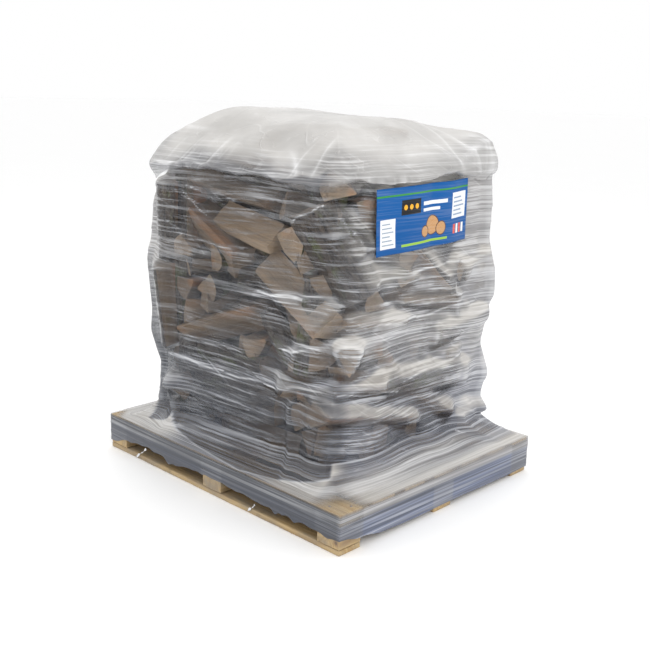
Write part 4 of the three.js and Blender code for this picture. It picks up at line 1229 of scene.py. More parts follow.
class FIREWOOD_OT_pallet(bpy.types.Operator):
    """Builds the pallet's boards and blocks, rough sawn and worn, and their nails"""

    bl_idname = "firewood.pallet"
    bl_label = "Pallet"

    def board(self, name, low, high, grain_axis, seed, worn):
        """A sawn board: a rectangle with rounded corners, carried along the grain. Its edges wander and
        its faces are a little uneven."""
        size = high - low
        others = [a for a in range(3) if a != grain_axis]
        half = size[others] / 2
        turn = np.concatenate([np.linspace(q, q + 90, 4) for q in (0, 90, 180, 270)])
        sign = np.repeat([(1, 1), (-1, 1), (-1, -1), (1, -1)], 4, axis=0)
        arc = np.stack([np.cos(np.radians(turn)), np.sin(np.radians(turn))], -1)
        corner = sign * (half - worn) + worn * arc
        profile = []
        for a, b in zip(corner, np.roll(corner, -1, 0)):
            cells = 6 if np.linalg.norm(b - a) > 0.03 else 1
            profile.append(a + (b - a) * np.arange(cells)[:, None] / cells)
        profile = np.concatenate(profile)
        count = max(12, int(size[grain_axis] / 0.02))
        t = np.linspace(0, 1, count)
        shape = (count, len(profile))
        uneven = 0.0005 * cloud(seed, shape, (6, 3)) - 0.0006
        at_edge = np.abs(np.abs(profile) - half).max(1) < worn * 1.2
        chips = 0.0016 * np.clip(cloud(seed + 500, shape, (2.5, 2)) - 0.9, 0, 2)
        uneven = uneven - chips * at_edge[None]
        away = profile / np.linalg.norm(profile, axis=1, keepdims=True)
        section = profile[None] + uneven[..., None] * away[None]
        end = np.array([1 - worn * 0.7 / half.min()] + [1] * (count - 2) + [1 - worn * 0.7 / half.min()])
        along = low[grain_axis] + t * size[grain_axis]
        along[1], along[-2] = along[0] + worn * 0.7, along[-1] - worn * 0.7
        section = section * end[:, None, None]
        grid = np.zeros(shape + (3,))
        grid[..., grain_axis] = along[:, None]
        for k, axis in enumerate(others):
            grid[..., axis] = section[..., k] + (low[axis] + high[axis]) / 2
        points = tube_points(grid)
        lean = np.clip(points, low, high)
        quads, fans = facing_out(lean, *tube_faces(*shape))
        grain = np.stack([lean[:, grain_axis], lean[:, others[0]], lean[:, others[1]]], -1)
        grain = grain + [3.1 * chance(seed * 3), 2.3 * chance(seed * 5), seed * 0.71]
        return new_piece(name, lean, quads, fans, 40, [("grain", grain)])

    def execute(self, context):
        settings = context.scene.firewood_pallet
        light, late = opaque(settings.light), opaque(settings.late)
        bare = sawn_material("sawn pine", light, late, 0.35)
        aged = sawn_material("weathered pine", light, late, 0.75)
        boards = [(f"runner_{k}", 0, aged, "weathered_pine") for k in (1, 2, 3)]
        boards += [(f"block_{j}_{i}", 1, aged, "weathered_pine") for j in (1, 2, 3) for i in (1, 2, 3)]
        boards += [(f"cross_board_{k}", 1, bare, "bare_pine") for k in (1, 2, 3)]
        boards += [(f"deck_board_{k}", 0, bare, "bare_pine") for k in range(1, DECK_BOARDS + 1)]
        for seed, (node, axis, material, slot) in enumerate(boards):
            low, high = (np.array(corner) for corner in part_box(node))
            piece = self.board(f"sawn_{node}", low, high, axis, seed + 11, settings.worn)
            dress(piece, material, slot, node)
        self.nails(settings.nail)
        return {"FINISHED"}

    def nails(self, across):
        """Nail heads: a low dome turned round a point, two through every crossing of the deck and four
        under every block."""
        sides, rings = 10, np.array([(0.0, 0.42), (0.5, 0.5), (0.9, 0.3), (1.0, 0.0), (0.9, -0.6)])
        turn = np.arange(sides) * 2 * np.pi / sides
        ring = np.stack([np.cos(turn), np.sin(turn)], -1)
        head = np.concatenate([
            rings[:, 0, None, None] * ring[None] * across / 2,
            np.repeat(rings[:, 1], sides).reshape(-1, sides, 1) * 0.0016,
        ], -1)[1:]
        rows_x = np.array([-1, 0, 1]) * (PALLET_LONG - BLOCK_SIDE) / 2
        rows_y = np.array([-1, 0, 1]) * (PALLET_WIDE - BLOCK_SIDE) / 2
        pitch = (PALLET_WIDE - BOARD_WIDE) / (DECK_BOARDS - 1)
        places = []
        for k in range(DECK_BOARDS):
            for j, x in enumerate(rows_x):
                for side in (-1, 1):
                    shift = 5 * chance(k * 7 + j * 3 + side) - 2.5
                    nail_y = (k - 3) * pitch + side * 24 - shift
                    places.append((x + side * 22 + shift, nail_y, DECK_TOP - 0.2, 1))
        for j, x in enumerate(rows_x):
            for k, y in enumerate(rows_y):
                places += [(x + a * 24, y + b * 22, 0.6, -1) for a in (-1, 1) for b in (-1, 1)]
        parts = []
        for x, y, z, up in places:
            grid = head * [1, up, up] + np.array([x, y, z]) * MM
            points = tube_points(grid)
            quads, fans = tube_faces(*grid.shape[:2])
            quads, fans = facing_out(points - points.mean(0), quads, fans)
            parts.append((points, quads, fans, points, np.zeros((len(quads) + len(fans), 3))))
        points, quads, fans, _, _ = joined(parts)
        material, n, shader = new_material("nail steel", Metallic=0.7)
        place = n.add("ShaderNodeTexCoord").outputs["Object"]
        rust = n.noise(place, 160, 3, 0.6)
        rusty = n.ramp(rust, 0.4, 0.65)
        n.set(shader["Base Color"], n.mix(rusty, (0.32, 0.32, 0.33, 1), (0.19, 0.075, 0.03, 1)))
        n.set(shader["Roughness"], n.ramp(rust, 0.3, 0.7, 0.4, 0.85))
        relief(n, shader, rust, 0.0003)
        dress(new_piece("nail_heads", points, quads, fans, 50), material, "weathered_pine")


class FIREWOOD_OT_shown_logs(bpy.types.Operator):
    """Builds the split logs that show best through the film"""

    bl_idname = "firewood.shown_logs"
    bl_label = "Shown logs"

    def execute(self, context):
        settings = context.scene.firewood_logs
        material = log_material(settings, "split firewood")
        for row, seed, middle, fine in load():
            if not fine:
                continue
            points, quads, fans, grain, kinds = joined([rough_log(row, seed, middle, SHOWN)])
            piece = new_piece(f"split_log_{seed:02d}", points, quads, fans, 42,
                              [("log_grain", grain)], [("log_kind", kinds)])
            node = f"log_{seed:02d}"
            slot = next(s["material_slot"] for s in frame["record"]["subparts"] if s["node"] == node)
            dress(piece, material, slot, node)
        return {"FINISHED"}


class FIREWOOD_OT_heap(bpy.types.Operator):
    """Builds the rest of the heap, log by log, round a dark middle"""

    bl_idname = "firewood.heap"
    bl_label = "Heap"

    def execute(self, context):
        settings = context.scene.firewood_logs
        material = log_material(settings, "heaped firewood")
        parts = [core_block()]
        parts += [rough_log(*log[:3], HEAPED) for log in load() if not log[3]]
        points, quads, fans, grain, kinds = joined(parts)
        piece = new_piece("heap_logs", points, quads, fans, 42, [("log_grain", grain)], [("log_kind", kinds)])
        dress(piece, material, "inner_wood", "inner_logs")
        return {"FINISHED"}


class FIREWOOD_OT_film_wrap(bpy.types.Operator):
    """Builds the stretch film wound round the load"""

    bl_idname = "firewood.film_wrap"
    bl_label = "Film round the load"

    def execute(self, context):
        settings = context.scene.firewood_film
        heights, field, _ = wrap_rows()
        grid = ring_points(field, heights)
        look, tone = self.looks(grid)
        piece = new_piece(
            "film_wound", grid.reshape(-1, 3), grid_faces(*field.shape, True)[:, ::-1],
            points_data=[("film_place", film_place(heights, 20)), ("film_look", look), ("film_tone", tone)])
        material = film_material("stretch film", settings, settings.streaks, settings.haze, 0.5, 1.2)
        dress(piece, material, "stretch_film", "film_wrap")
        return {"FINISHED"}

    def looks(self, grid):
        """The film's haze, whiteness and share left, and how pale, blue and dark it is, point by point.
        Painted light makes it paler on the right side and on slopes that face up; painted shade makes it
        darker on the front, over the gaps between logs and on slopes that face down.
        """
        heights, field, space = wrap_rows()
        ring_x, ring_y = pallet_ring(0).T
        front = side_share(1)
        left_end, right_end = far_corners()
        end = left_end + right_end
        gap = smooth_step(4, 70, blurred(space, 2))
        crease = smooth_step(0.12, 0.8, curvature(ring_points(blurred(field, 2), heights)) / MM)
        rise = np.gradient(blurred(field, 5), axis=0) / (heights[0] - heights[1])
        # Painted light: film that faces up (up) is made milkier, whiter and paler as a painted highlight from
        # the sky, and film that faces down (under) keeps less film, so it shows darker, as painted shade
        up, under = smooth_step(0.05, 0.7, rise), smooth_step(0.05, 0.7, -rise)
        low, high = (smooth_step(620, to, heights)[:, None] for to in (240, 820))
        patch = cloud(47, field.shape, (60, 70))
        drawn = 0.9 * near_creases(grid, CREASES, 3.0)
        veil = near_creases(grid, VEILS, 15)
        clear = smooth_step(-170, -430, ring_y)[None] * smooth_step(560, 680, heights)[:, None]
        right = side_share(0) * (1 - 0.75 * clear)
        crown = right * smooth_step(860, 1060, heights)[:, None]
        foot = front * smooth_step(420, 260, heights)[:, None] * smooth_step(230, 90, ring_x)
        # Painted light and shade: the right side is milkier and paler, more near its top (crown), where light
        # falls; the front is darker, more low down (foot, low), where it lies in shade
        haze = 0.4 * gap + 0.45 * low * front + 0.2 * low * right + 0.45 * up + 0.1 * patch + 0.4 * right
        haze = haze + 0.4 * foot
        haze = haze * (1 - 0.4 * clear) + 0.55 * end + 0.15 * crown
        haze = haze + 0.45 * right * smooth_step(1035, 1080, heights)[:, None] + 0.5 * veil
        white = 0.2 * veil + crease * (0.3 + 0.2 * patch) * (1 - 0.6 * clear)
        white = white + 0.25 * up * smooth_step(-0.5, 1.2, patch) + drawn
        left = 1 - 0.6 * under * (1 - drawn) * (1 - end)
        pale = 0.05 + 0.4 * right + (0.35 + 0.3 * right) * up + 0.1 * patch
        pale = pale + high * (0.5 * left_end + 0.2 * right_end) + 0.15 * crown
        # Painted shade: over gaps between the logs the film is made bluer and darker, as if shade falls in
        # them
        blue = 0.35 * front * low + 0.3 * right * low + 0.15 * gap - 0.3 * up
        dark = 0.62 * front + 0.2 * foot + 0.2 * front * low + 0.15 * gap - 0.4 * up - 0.15 * patch
        dark = dark - 0.5 * high * end - 0.4 * drawn - 0.45 * veil
        look = layers(np.clip(haze, 0, 1.3), np.clip(white, 0, 1), left)
        return look, np.clip(layers(pale, blue, dark), 0, 1)


def side_share(kind):
    """For every column, how much it belongs to the right side (kind 0) or to the front side (kind 1),
    fading over a hand's width at the corners."""
    ring = pallet_ring(0)
    if kind == 0:
        return smooth_step(480, 590, ring[:, 0])
    return smooth_step(380, 490, -ring[:, 1])


def far_corners():
    """For every column, how near it is to the load's left corner and how near to its right corner."""
    ring = pallet_ring(0)
    return [smooth_step(240, 120, np.hypot(*(ring - corner).T)) for corner in ((-600, -500), (600, 500))]


def film_place(downs, sway):
    """The film's own place in metres: round the pallet's edge in X and Y, and down it in Z. sway
    millimetres of slow noise in Z make its streaks rise and fall."""
    ring = pallet_ring(0) * MM
    downs = np.asarray(downs, float)
    if downs.ndim == 1:
        downs = np.repeat(downs[:, None], len(ring), 1)
    downs = downs + sway * cloud(53, downs.shape, (70, 60))
    return np.concatenate([np.broadcast_to(ring, downs.shape + (2,)), (downs * MM)[..., None]], -1)


class FIREWOOD_OT_film_skirt(bpy.types.Operator):
    """Builds the film's lower turns, out over the deck and down over the pallet's sides"""

    bl_idname = "firewood.film_skirt"
    bl_label = "Film on the pallet"

    def execute(self, context):
        settings = context.scene.firewood_film
        grid, down, pull, push = self.surface()
        look, tone = self.looks(grid, down, pull, push)
        place = film_place(down, 3) * (0.4, 0.4, 1)
        piece = new_piece(
            "film_on_pallet", grid.reshape(-1, 3), grid_faces(*down.shape, True)[:, ::-1],
            points_data=[("film_place", place), ("film_look", look), ("film_tone", tone)])
        material = film_material("film on the pallet", settings, 0.42, 0.14, 0.12, 0.8)
        dress(piece, material, "stretch_film", "film_skirt")
        return {"FINISHED"}

    def surface(self):
        """The slope from the load's foot out to the deck's edge, and the wall from there down to the torn
        hem, as one grid in metres. The slope falls as a power of what is left of the way out. Also returns
        how high up the film each point is, the slope's pull lines and the wall's loose folds."""
        foot = wrap_rows()[1][-1]
        start, edge = foot[:, None] * ray_directions(), pallet_ring(SKIRT_OFF)
        columns = len(edge)
        t = np.linspace(0, 1, SLOPE_ROWS)[:, None]
        swell = np.sin(np.pi * t**0.8)
        pull = 3.0 * ridges(cloud(61, (SLOPE_ROWS, columns), (5, 46)))
        pull = pull + 1.6 * cloud(63, (SLOPE_ROWS, columns), (9, 40))
        flat = start[None] * (1 - t[..., None]) + edge[None] * t[..., None]
        base = DECK_TOP + SKIRT_LIFT
        steep = 2.9 - 1.4 * side_share(0)
        z = base + (WRAP_FOOT - base) * (1 - t) ** steep + np.maximum(pull, -0.8) * swell
        slope = np.concatenate([flat, z[..., None]], -1)
        hem = hem_heights(FILM_HEMS)
        torn = cloud(67, (1, columns), (1, 7))[0] + 0.6 * cloud(68, (1, columns), (1, 3))[0]
        hem = np.maximum(hem + 2.5 * torn * smooth_step(22, 40, hem), 4)
        for at, wide, low in HEM_FLAPS:
            hem = hem - low * (edge[:, 1] < -490) * np.exp(-(((edge[:, 0] - at) / wide) ** 2))
        w = steps(WALL_ROWS)
        drop = base - 1.5 - (base - 1.5 - hem[None]) * w
        loose = 0.7 * cloud(71, (WALL_ROWS, columns), (6, 60))
        loose = loose + 0.9 * ridges(cloud(73, (WALL_ROWS, columns), (3, 60)))
        side = edge / np.linalg.norm(edge, axis=1, keepdims=True)
        push = np.clip(loose, -0.4, 2.2) * np.sin(np.pi * w * 0.92) ** 0.7
        wall = np.concatenate([edge[None] + side[None] * push[..., None], drop[..., None]], -1)
        down = np.concatenate([np.broadcast_to(base + 230 * (1 - t), (SLOPE_ROWS, columns)), drop])
        return np.concatenate([slope, wall]) * MM, down, pull, push

    def looks(self, grid, down, pull, push):
        """The film's haze, whiteness and share left, and how pale, blue and dark it is, point by point. It is
        taut inside the foot line, where painted shade darkens it, and torn and clear at two corners of the
        deck. Painted shade also darkens the front wall, the front of the deck near the load and the wall over
        the gaps between blocks; painted light makes the right wall paler."""
        edge = pallet_ring(SKIRT_OFF)
        rows = len(down)
        patch = cloud(75, down.shape, (16, 40))
        front = side_share(1)
        on_deck = np.repeat([1.0, 0.0], [SLOPE_ROWS, WALL_ROWS])[:, None]
        on_wall = 1 - on_deck
        out_on_deck = np.concatenate([np.linspace(0, 1, SLOPE_ROWS), np.ones(WALL_ROWS)])[:, None]
        right = np.where(on_deck > 0, side_share(0)[None], smooth_step(586, 600, pallet_ring(0)[:, 0])[None])
        block = self.block_share(edge)
        solid = np.maximum(block, smooth_step(88, 100, down)) * on_wall
        ends = block * smooth_step(250, 350, np.abs(edge[:, 1]))[None]
        x, y = grid[..., 0] / MM, grid[..., 1] / MM
        first_x, last_x = FOOT_LINE[0][0], FOOT_LINE[-1][0]
        past_line = y - np.interp(x, *zip(*FOOT_LINE))
        inside = smooth_step(-5, 5, past_line) * smooth_step(-8, 8, x - np.interp(y, *zip(*FOOT_LEFT)))
        taut = on_deck * (y < -300) * inside * smooth_step(6, -6, x - last_x + 0.6 * past_line)
        fold = on_deck * np.exp(-((past_line / 3.5) ** 2)) * (x > first_x) * (x < last_x)
        front_deck = smooth_step(-300, -380, y) * smooth_step(490, 450, x)
        front_deck = np.maximum(front_deck, smooth_step(-390, -430, x))
        outer = smooth_step(0.25, 0.8, out_on_deck + 0.1 * patch)
        outer = np.where(front_deck > 0, outer * (1 - front_deck) + front_deck * (1 - taut), outer)
        outer = outer * (1 - 0.8 * front * smooth_step(330, 160, np.abs(edge[:, 0]))[None])
        haze = on_deck * (0.75 + 0.45 * outer) + on_wall * (1.7 - 0.5 * solid * right - 0.35 * ends)
        bare = self.corner_share(grid, 0.012 * patch) * on_deck
        near_edge = np.exp(-(((np.arange(rows) - SLOPE_ROWS) / 2.0) ** 2))[:, None]
        pulled = np.concatenate([pull, np.zeros_like(push)])
        pushed = np.concatenate([np.zeros_like(pull), push])
        white = 0.3 * on_deck * smooth_step(0.3, 2.2, pulled) + 0.15 * on_wall * smooth_step(0.8, 2.0, pushed)
        white = white + 0.1 * near_edge + 0.5 * fold
        left = (1 - 0.85 * bare) * (1 - 0.55 * near_edge)
        # Painted light: the right wall is paler, most over its blocks. Painted shade: the wall over the gaps
        # between blocks is bluer, and the front wall, the front deck near the load and the taut film inside
        # the foot line are darker
        pale = on_deck * (0.75 * outer + 0.25 * right)
        pale = pale + on_wall * right * (0.12 + 0.45 * solid * (1 - ends))
        blue = on_wall * (0.95 - (0.75 + 0.2 * ends) * solid) + on_deck * 0.4 * (1 - outer)
        dark = on_wall * ((1.0 - 0.2 * block) * (1 - right) + right * (0.2 + 0.35 * ends))
        dark = dark + on_deck * np.maximum(0.55 * front * (1 - outer), 0.85 * taut)
        look = layers(np.clip(haze + 0.08 * patch, 0, 1.9), np.clip(white, 0, 1), left)
        return look, np.clip(layers(pale, blue, dark), 0, 1)

    def block_share(self, edge):
        """How much a column of the wall lies on a block instead of over a gap."""
        x = np.abs(np.abs(edge[:, 0]) - (PALLET_LONG - BLOCK_SIDE) / 2)
        y = np.abs(np.abs(edge[:, 1]) - (PALLET_WIDE - BLOCK_SIDE) / 2)
        near_x = np.minimum(x, np.abs(edge[:, 0]))
        near_y = np.minimum(y, np.abs(edge[:, 1]))
        off = np.maximum(near_x, near_y) - BLOCK_SIDE / 2
        return smooth_step(8, -4, off)[None]

    def corner_share(self, grid, ragged):
        """How torn and clear the film is: wholly at the near and the left corner of the deck."""
        behind = grid[..., 1] + 0.5
        near, left = (
            np.maximum(beside, behind) + 0.35 * np.minimum(beside, behind)
            for beside in (0.6 - grid[..., 0], grid[..., 0] + 0.6)
        )
        return np.maximum(smooth_step(0.16, 0.05, near + ragged), smooth_step(0.09, 0.02, left + ragged))


class FIREWOOD_OT_cover(bpy.types.Operator):
    """Builds the milky cover sheet, puffed up over the crown and gathered at its hem"""

    bl_idname = "firewood.cover"
    bl_label = "Cover sheet"

    def execute(self, context):
        settings = context.scene.firewood_sheets
        grid, reach, pleats, creases, patch = self.surface()
        rows, columns = patch.shape
        i = np.arange(columns)
        fan = np.stack([i, (i + 1) % columns, np.full(columns, rows * columns)], -1)
        points = np.concatenate([grid.reshape(-1, 3), grid[0].mean(0)[None]])
        look, left = self.looks(reach, pleats, creases, patch)
        piece = new_piece("cover_draped", points, grid_faces(rows, columns, True)[:, ::-1], fan,
                          points_data=[("sheet_look", look), ("sheet_left", left)])
        dress(piece, self.plastic(settings), "cover_sheet", "cover_sheet")
        return {"FINISHED"}

    def surface(self):
        """Crown, bulge below it and tucked hem as one grid in metres. The crown follows the load's top out
        to the shoulder, the bulge is a quarter of a wave and the hem is drawn in under it; a slow swell,
        folds and pleats come on top. Also returns how far out each row is, the pleats, the whiteness of
        the folds and the slow noise that places the pleats."""
        rays = ray_directions()
        rows, columns = CROWN_ROWS + BULGE_ROWS + HEM_ROWS, len(rays)
        shoulder = blurred(np.max(wrap_rows()[1][:16], axis=0)[None], 40)[0]
        s = np.linspace(0.012, 1, CROWN_ROWS)[:, None] ** 0.9
        bulge, tuck = steps(BULGE_ROWS), steps(HEM_ROWS)
        crown_x, crown_y = shoulder * s * rays[:, 0], shoulder * s * rays[:, 1]
        top = crown_height(crown_x * 0.975, crown_y * 0.975)
        low_z = SHOULDER - 12
        hem = hem_heights(COVER_HEMS)
        radius = np.concatenate([
            shoulder * s + 10 * s**6,
            shoulder + 10 + (COVER_BULGE - 10) * np.sin(bulge * np.pi / 2),
            shoulder + 4 + (COVER_BULGE - 4) * (1 - smooth_step(0, 1, tuck)),
        ])
        z = np.concatenate([
            top,
            low_z + (top[-1] - low_z) * (1 - bulge) ** 0.8,
            low_z + (hem - low_z) * tuck,
        ])
        reach = np.concatenate([s[:, 0], np.ones(rows - CROWN_ROWS)])[:, None]
        rim = smooth_step(0.7, 1.0, reach)
        fade = np.concatenate([np.ones(rows - HEM_ROWS), np.linspace(1, 0.3, HEM_ROWS)])[:, None]
        turns = ridges(cloud(83, (rows, columns), (46, 9)))
        turns = turns + 0.6 * ridges(cloud(85, (rows, columns), (30, 5)))
        patch = cloud(87, (rows, columns), (30, 40))
        pleats = turns * smooth_step(-0.4, 0.9, patch) * rim * fade
        x, y = radius * rays[:, 0] * MM, radius * rays[:, 1] * MM
        swell = self.waves(x, y, SWELL_WAVES, 1)
        folds = self.waves(x, y, FOLD_WAVES, 14) * smooth_step(-0.2, 1.2, self.waves(x, y, FOLD_PLACES, 1))
        on_top = np.concatenate([np.ones(CROWN_ROWS), np.linspace(1, 0, BULGE_ROWS), np.zeros(HEM_ROWS)])
        on_top = on_top[:, None]
        rim_wave = cloud(89, (1, columns), (1, 16))[0] + 0.7 * cloud(90, (1, columns), (1, 7))[0]
        z = z + (swell + folds) * (1 - 0.5 * rim) * on_top + 7 * rim_wave * smooth_step(0.8, 1, reach) * fade
        return ring_points(radius + 7 * pleats, z), reach, pleats, 0.1 * folds * on_top, patch

    def looks(self, reach, pleats, creases, patch):
        """How much each point takes the cover's side colour, which is painted shade: on the hanging sides,
        least on the right, most in a band on the front, and partly near the rim; how white it is, with a
        painted highlight along the rim; how near the rim it is; and how much of the cover is left towards its
        hem. The middle of the crown comes last."""
        rows = len(patch)
        down = np.concatenate([np.zeros(CROWN_ROWS), smooth_step(0.1, 0.9, steps(BULGE_ROWS)[:, 0]),
                               np.ones(HEM_ROWS)])[:, None]
        right, front = side_share(0), side_share(1)
        front_x = pallet_ring(0)[:, 0]
        # Painted shade: a darker band on the front side of the cover
        painted_front_shade = front * smooth_step(-420, -240, front_x) * smooth_step(400, 230, front_x)
        near_rim = smooth_step(0.86, 1.0, reach + 0.01 * patch)
        side = np.maximum(down * (1 - 0.62 * right), (0.3 + 0.1 * front + 0.5 * painted_front_shade) * near_rim)
        # Painted highlight: a white line along the rim of the crown
        rim_highlight = np.exp(-(((np.arange(rows) - CROWN_ROWS + 1) / 2.5) ** 2))[:, None]
        rim_highlight = rim_highlight * smooth_step(-0.2, 1.4, patch)
        white = np.clip(0.3 * pleats + creases + 0.3 * rim_highlight, 0, 1)
        gone = np.concatenate([np.zeros(rows - HEM_ROWS), smooth_step(0.1, 0.95, steps(HEM_ROWS)[:, 0])])
        gone = gone[:, None] * (1 - 0.8 * sum(far_corners()))
        look = layers(side, white, smooth_step(0.7, 1.0, reach)).reshape(-1, 3)
        left = layers(1 - gone, 0, 0).reshape(-1, 3)
        return np.concatenate([look, [[0, 0, 0]]]), np.concatenate([left, [[1, 0, 0]]])

    def waves(self, x, y, rows, sharp):
        """Sum of bent waves over the ground plan, each with its height, its two wave numbers per metre
        and its phase. A sharp above 1 narrows each wave to a crease."""
        total = 0
        for high, fx, fy, phase in rows:
            bend = 1.8 * np.sin((y * fx - x * fy) * 0.45 + 2 * phase)
            wave = np.sin(x * fx + y * fy + phase + bend)
            total = total + high * (wave if sharp == 1 else (1 - np.abs(wave)) ** sharp)
        return total

    def plastic(self, settings):
        material, n, shader = new_material(
            "milky cover plastic", Roughness=0.28, IOR=1.5, Specular_IOR_Level=0.6)
        place = n.add("ShaderNodeTexCoord").outputs["Object"]
        crumple = n.group(group("crumple"), Place=place)
        film = n.group(group("film"), Place=place, Streaks=0.3, Haze=0.1, Wander=0.5)
        look = n.split(n.attribute("sheet_look"))
        top = n.ramp(crumple["Cloud"], 0.32, 0.68, 0.68, 0.92)
        side = n.plus(n.ramp(crumple["Cloud"], 0.36, 0.64, 0.4, 0.65), n.times(film["Line"], 0.3))
        milk = n.add("ShaderNodeMix", {0: look[0], 2: top, 3: side}, data_type="FLOAT").outputs[0]
        white = n.plus(look[1], n.times(crumple["Crease"], 0.14), clamp=True)
        milk = n.plus(milk, n.times(white, 0.4))
        left = n.split(n.attribute("sheet_left"))[0]
        n.set(shader["Alpha"], n.times(n.math("MINIMUM", milk, 0.96), left))
        # Painted shade: the side colour is shade on the cover's hanging side
        color = n.mix(look[0], opaque(settings.cover), opaque(settings.side))
        lines = n.times(film["Line"], n.times(look[2], 0.4))
        n.set(shader["Base Color"], n.mix(n.plus(white, lines, clamp=True), color, (0.86, 0.86, 0.87, 1)))
        height = n.plus(crumple["Height"], n.times(n.times(film["Height"], look[2]), 0.5))
        relief(n, shader, height, 0.0014)
        return material


class FIREWOOD_OT_print(bpy.types.Operator):
    """Builds the printed sheet under the film on the right side"""

    bl_idname = "firewood.print"
    bl_label = "Printed sheet"

    def execute(self, context):
        settings = context.scene.firewood_sheets
        heights, field, _ = wrap_rows()
        film = ring_points(field, heights) / MM
        rows, columns = PRINT_ROWS, PRINT_COLUMNS
        z = np.linspace(PRINT_CENTER_Z + PRINT_HIGH / 2, PRINT_CENTER_Z - PRINT_HIGH / 2, rows)
        y = PRINT_CENTER_Y + np.linspace(-PRINT_WIDE / 2, PRINT_WIDE / 2, columns)
        right = slice(4, SHORT_COLUMNS - 4)
        at_z = np.stack([np.interp(y, row[:, 1], row[:, 0]) for row in film[:, right]])
        x = np.stack([np.interp(z, heights[::-1], column[::-1]) for column in at_z.T], 1)
        for k in range(60):
            p = np.pad(x, 1, mode="edge")
            sides = p[2:, 1:-1], p[:-2, 1:-1], p[1:-1, 2:], p[1:-1, :-2]
            x = np.maximum.reduce([x, *sides]) if k < 7 else (x + sum(sides) / 4) / 2
        x = x + 0.8 * (x.max(0) - x)
        across, up = y[None] - PRINT_CENTER_Y, z[:, None] - PRINT_CENTER_Z
        front = np.stack([x + 1.6, y[None] - PRINT_TURN * up, z[:, None] + PRINT_TURN * across], -1) * MM
        points = front.reshape(-1, 3)
        piece = new_piece("sheet_printed", points, grid_faces(rows, columns, False)[:, ::-1])
        uv = piece.data.uv_layers.new(name="print")
        corners = np.zeros(len(piece.data.loops), np.int32)
        piece.data.loops.foreach_get("vertex_index", corners)
        place = layers(across / PRINT_WIDE + 0.5, up / PRINT_HIGH + 0.5).reshape(-1, 2)
        uv.data.foreach_set("uv", place[corners].astype(np.float32).ravel())
        solid = piece.modifiers.new("thickness", "SOLIDIFY")
        solid.thickness, solid.offset = 0.0006, 1
        dress(piece, self.artwork(settings), "printed_sheet", "printed_sheet")
        return {"FINISHED"}

    def artwork(self, settings):
        """A plain pattern of panels, rings and stripes, with the film's streaks over it."""
        material, n, shader = new_material("printed plastic", Roughness=0.4, IOR=1.5, Specular_IOR_Level=0.15)
        uv = n.split(n.add("ShaderNodeUVMap", uv_map="print").outputs[0])
        x, y = n.times(uv[0], PRINT_WIDE * MM), n.times(uv[1], PRINT_HIGH * MM)

        def block(left, right, low, high):
            inside = n.times(n.math("GREATER_THAN", x, left), n.math("LESS_THAN", x, right))
            return n.times(inside, n.times(n.math("GREATER_THAN", y, low), n.math("LESS_THAN", y, high)))

        def disc(cx, cy, radius):
            square = n.plus(n.math("POWER", n.minus(x, cx), 2), n.math("POWER", n.minus(y, cy), 2))
            away = n.math("SQRT", square)
            return n.math("LESS_THAN", away, radius), away

        panel = opaque(settings.panel)
        color = n.mix(n.ramp(y, 0, 0.2, 0, 0.5), opaque(settings.ground), (0.003, 0.11, 0.37, 1))
        for edges, shade in (
            ((0.0, 0.475, 0.180, 0.186), (0.04, 0.27, 0.05, 1)),
            ((0.018, 0.088, 0.020, 0.112), panel),
            ((0.372, 0.462, 0.082, 0.168), panel),
            ((0.115, 0.210, 0.118, 0.166), (0.012, 0.012, 0.014, 1)),
            ((0.225, 0.345, 0.140, 0.152), panel),
            ((0.225, 0.310, 0.120, 0.130), panel),
            ((0.115, 0.352, 0.018, 0.026), (0.30, 0.52, 0.06, 1)),
        ):
            color = n.mix(block(*edges), color, shade)
        for k in range(6):
            low = 0.030 + 0.013 * k
            line = block(0.026, 0.080 - 0.008 * (k % 3), low, low + 0.004)
            color = n.mix(line, color, (0.30, 0.36, 0.44, 1))
        for k in range(5):
            low = 0.092 + 0.014 * k
            line = block(0.380, 0.452 - 0.01 * ((k + 1) % 3), low, low + 0.005)
            color = n.mix(line, color, (0.25, 0.33, 0.46, 1))
        for cx, cy, radius in ((0.275, 0.072, 0.033), (0.318, 0.058, 0.024), (0.236, 0.055, 0.020)):
            mask, away = disc(cx, cy, radius)
            rings = n.ramp(n.math("SINE", n.times(away, 1500)), -0.2, 0.9)
            wood = n.mix(rings, (0.62, 0.36, 0.17, 1), (0.38, 0.18, 0.07, 1))
            rim = n.math("GREATER_THAN", away, radius - 0.0035)
            color = n.mix(mask, color, n.mix(rim, wood, (0.10, 0.05, 0.03, 1)))
        for k in range(3):
            color = n.mix(disc(0.135 + 0.0275 * k, 0.142, 0.0085)[0], color, (0.86, 0.42, 0.03, 1))
        for k in range(4):
            shade = (0.80, 0.80, 0.78, 1) if k % 2 else (0.72, 0.10, 0.05, 1)
            color = n.mix(block(0.385 + 0.019 * k, 0.398 + 0.019 * k, 0.030, 0.062), color, shade)
        place = n.add("ShaderNodeTexCoord").outputs["Object"]
        film = n.group(group("film"), Place=place, Streaks=0.07, Haze=0.004, Wander=0.2)
        n.set(shader["Base Color"], n.mix(film["Milk"], color, (0.82, 0.84, 0.87, 1)))
        relief(n, shader, film["Height"], 0.0012)
        return material


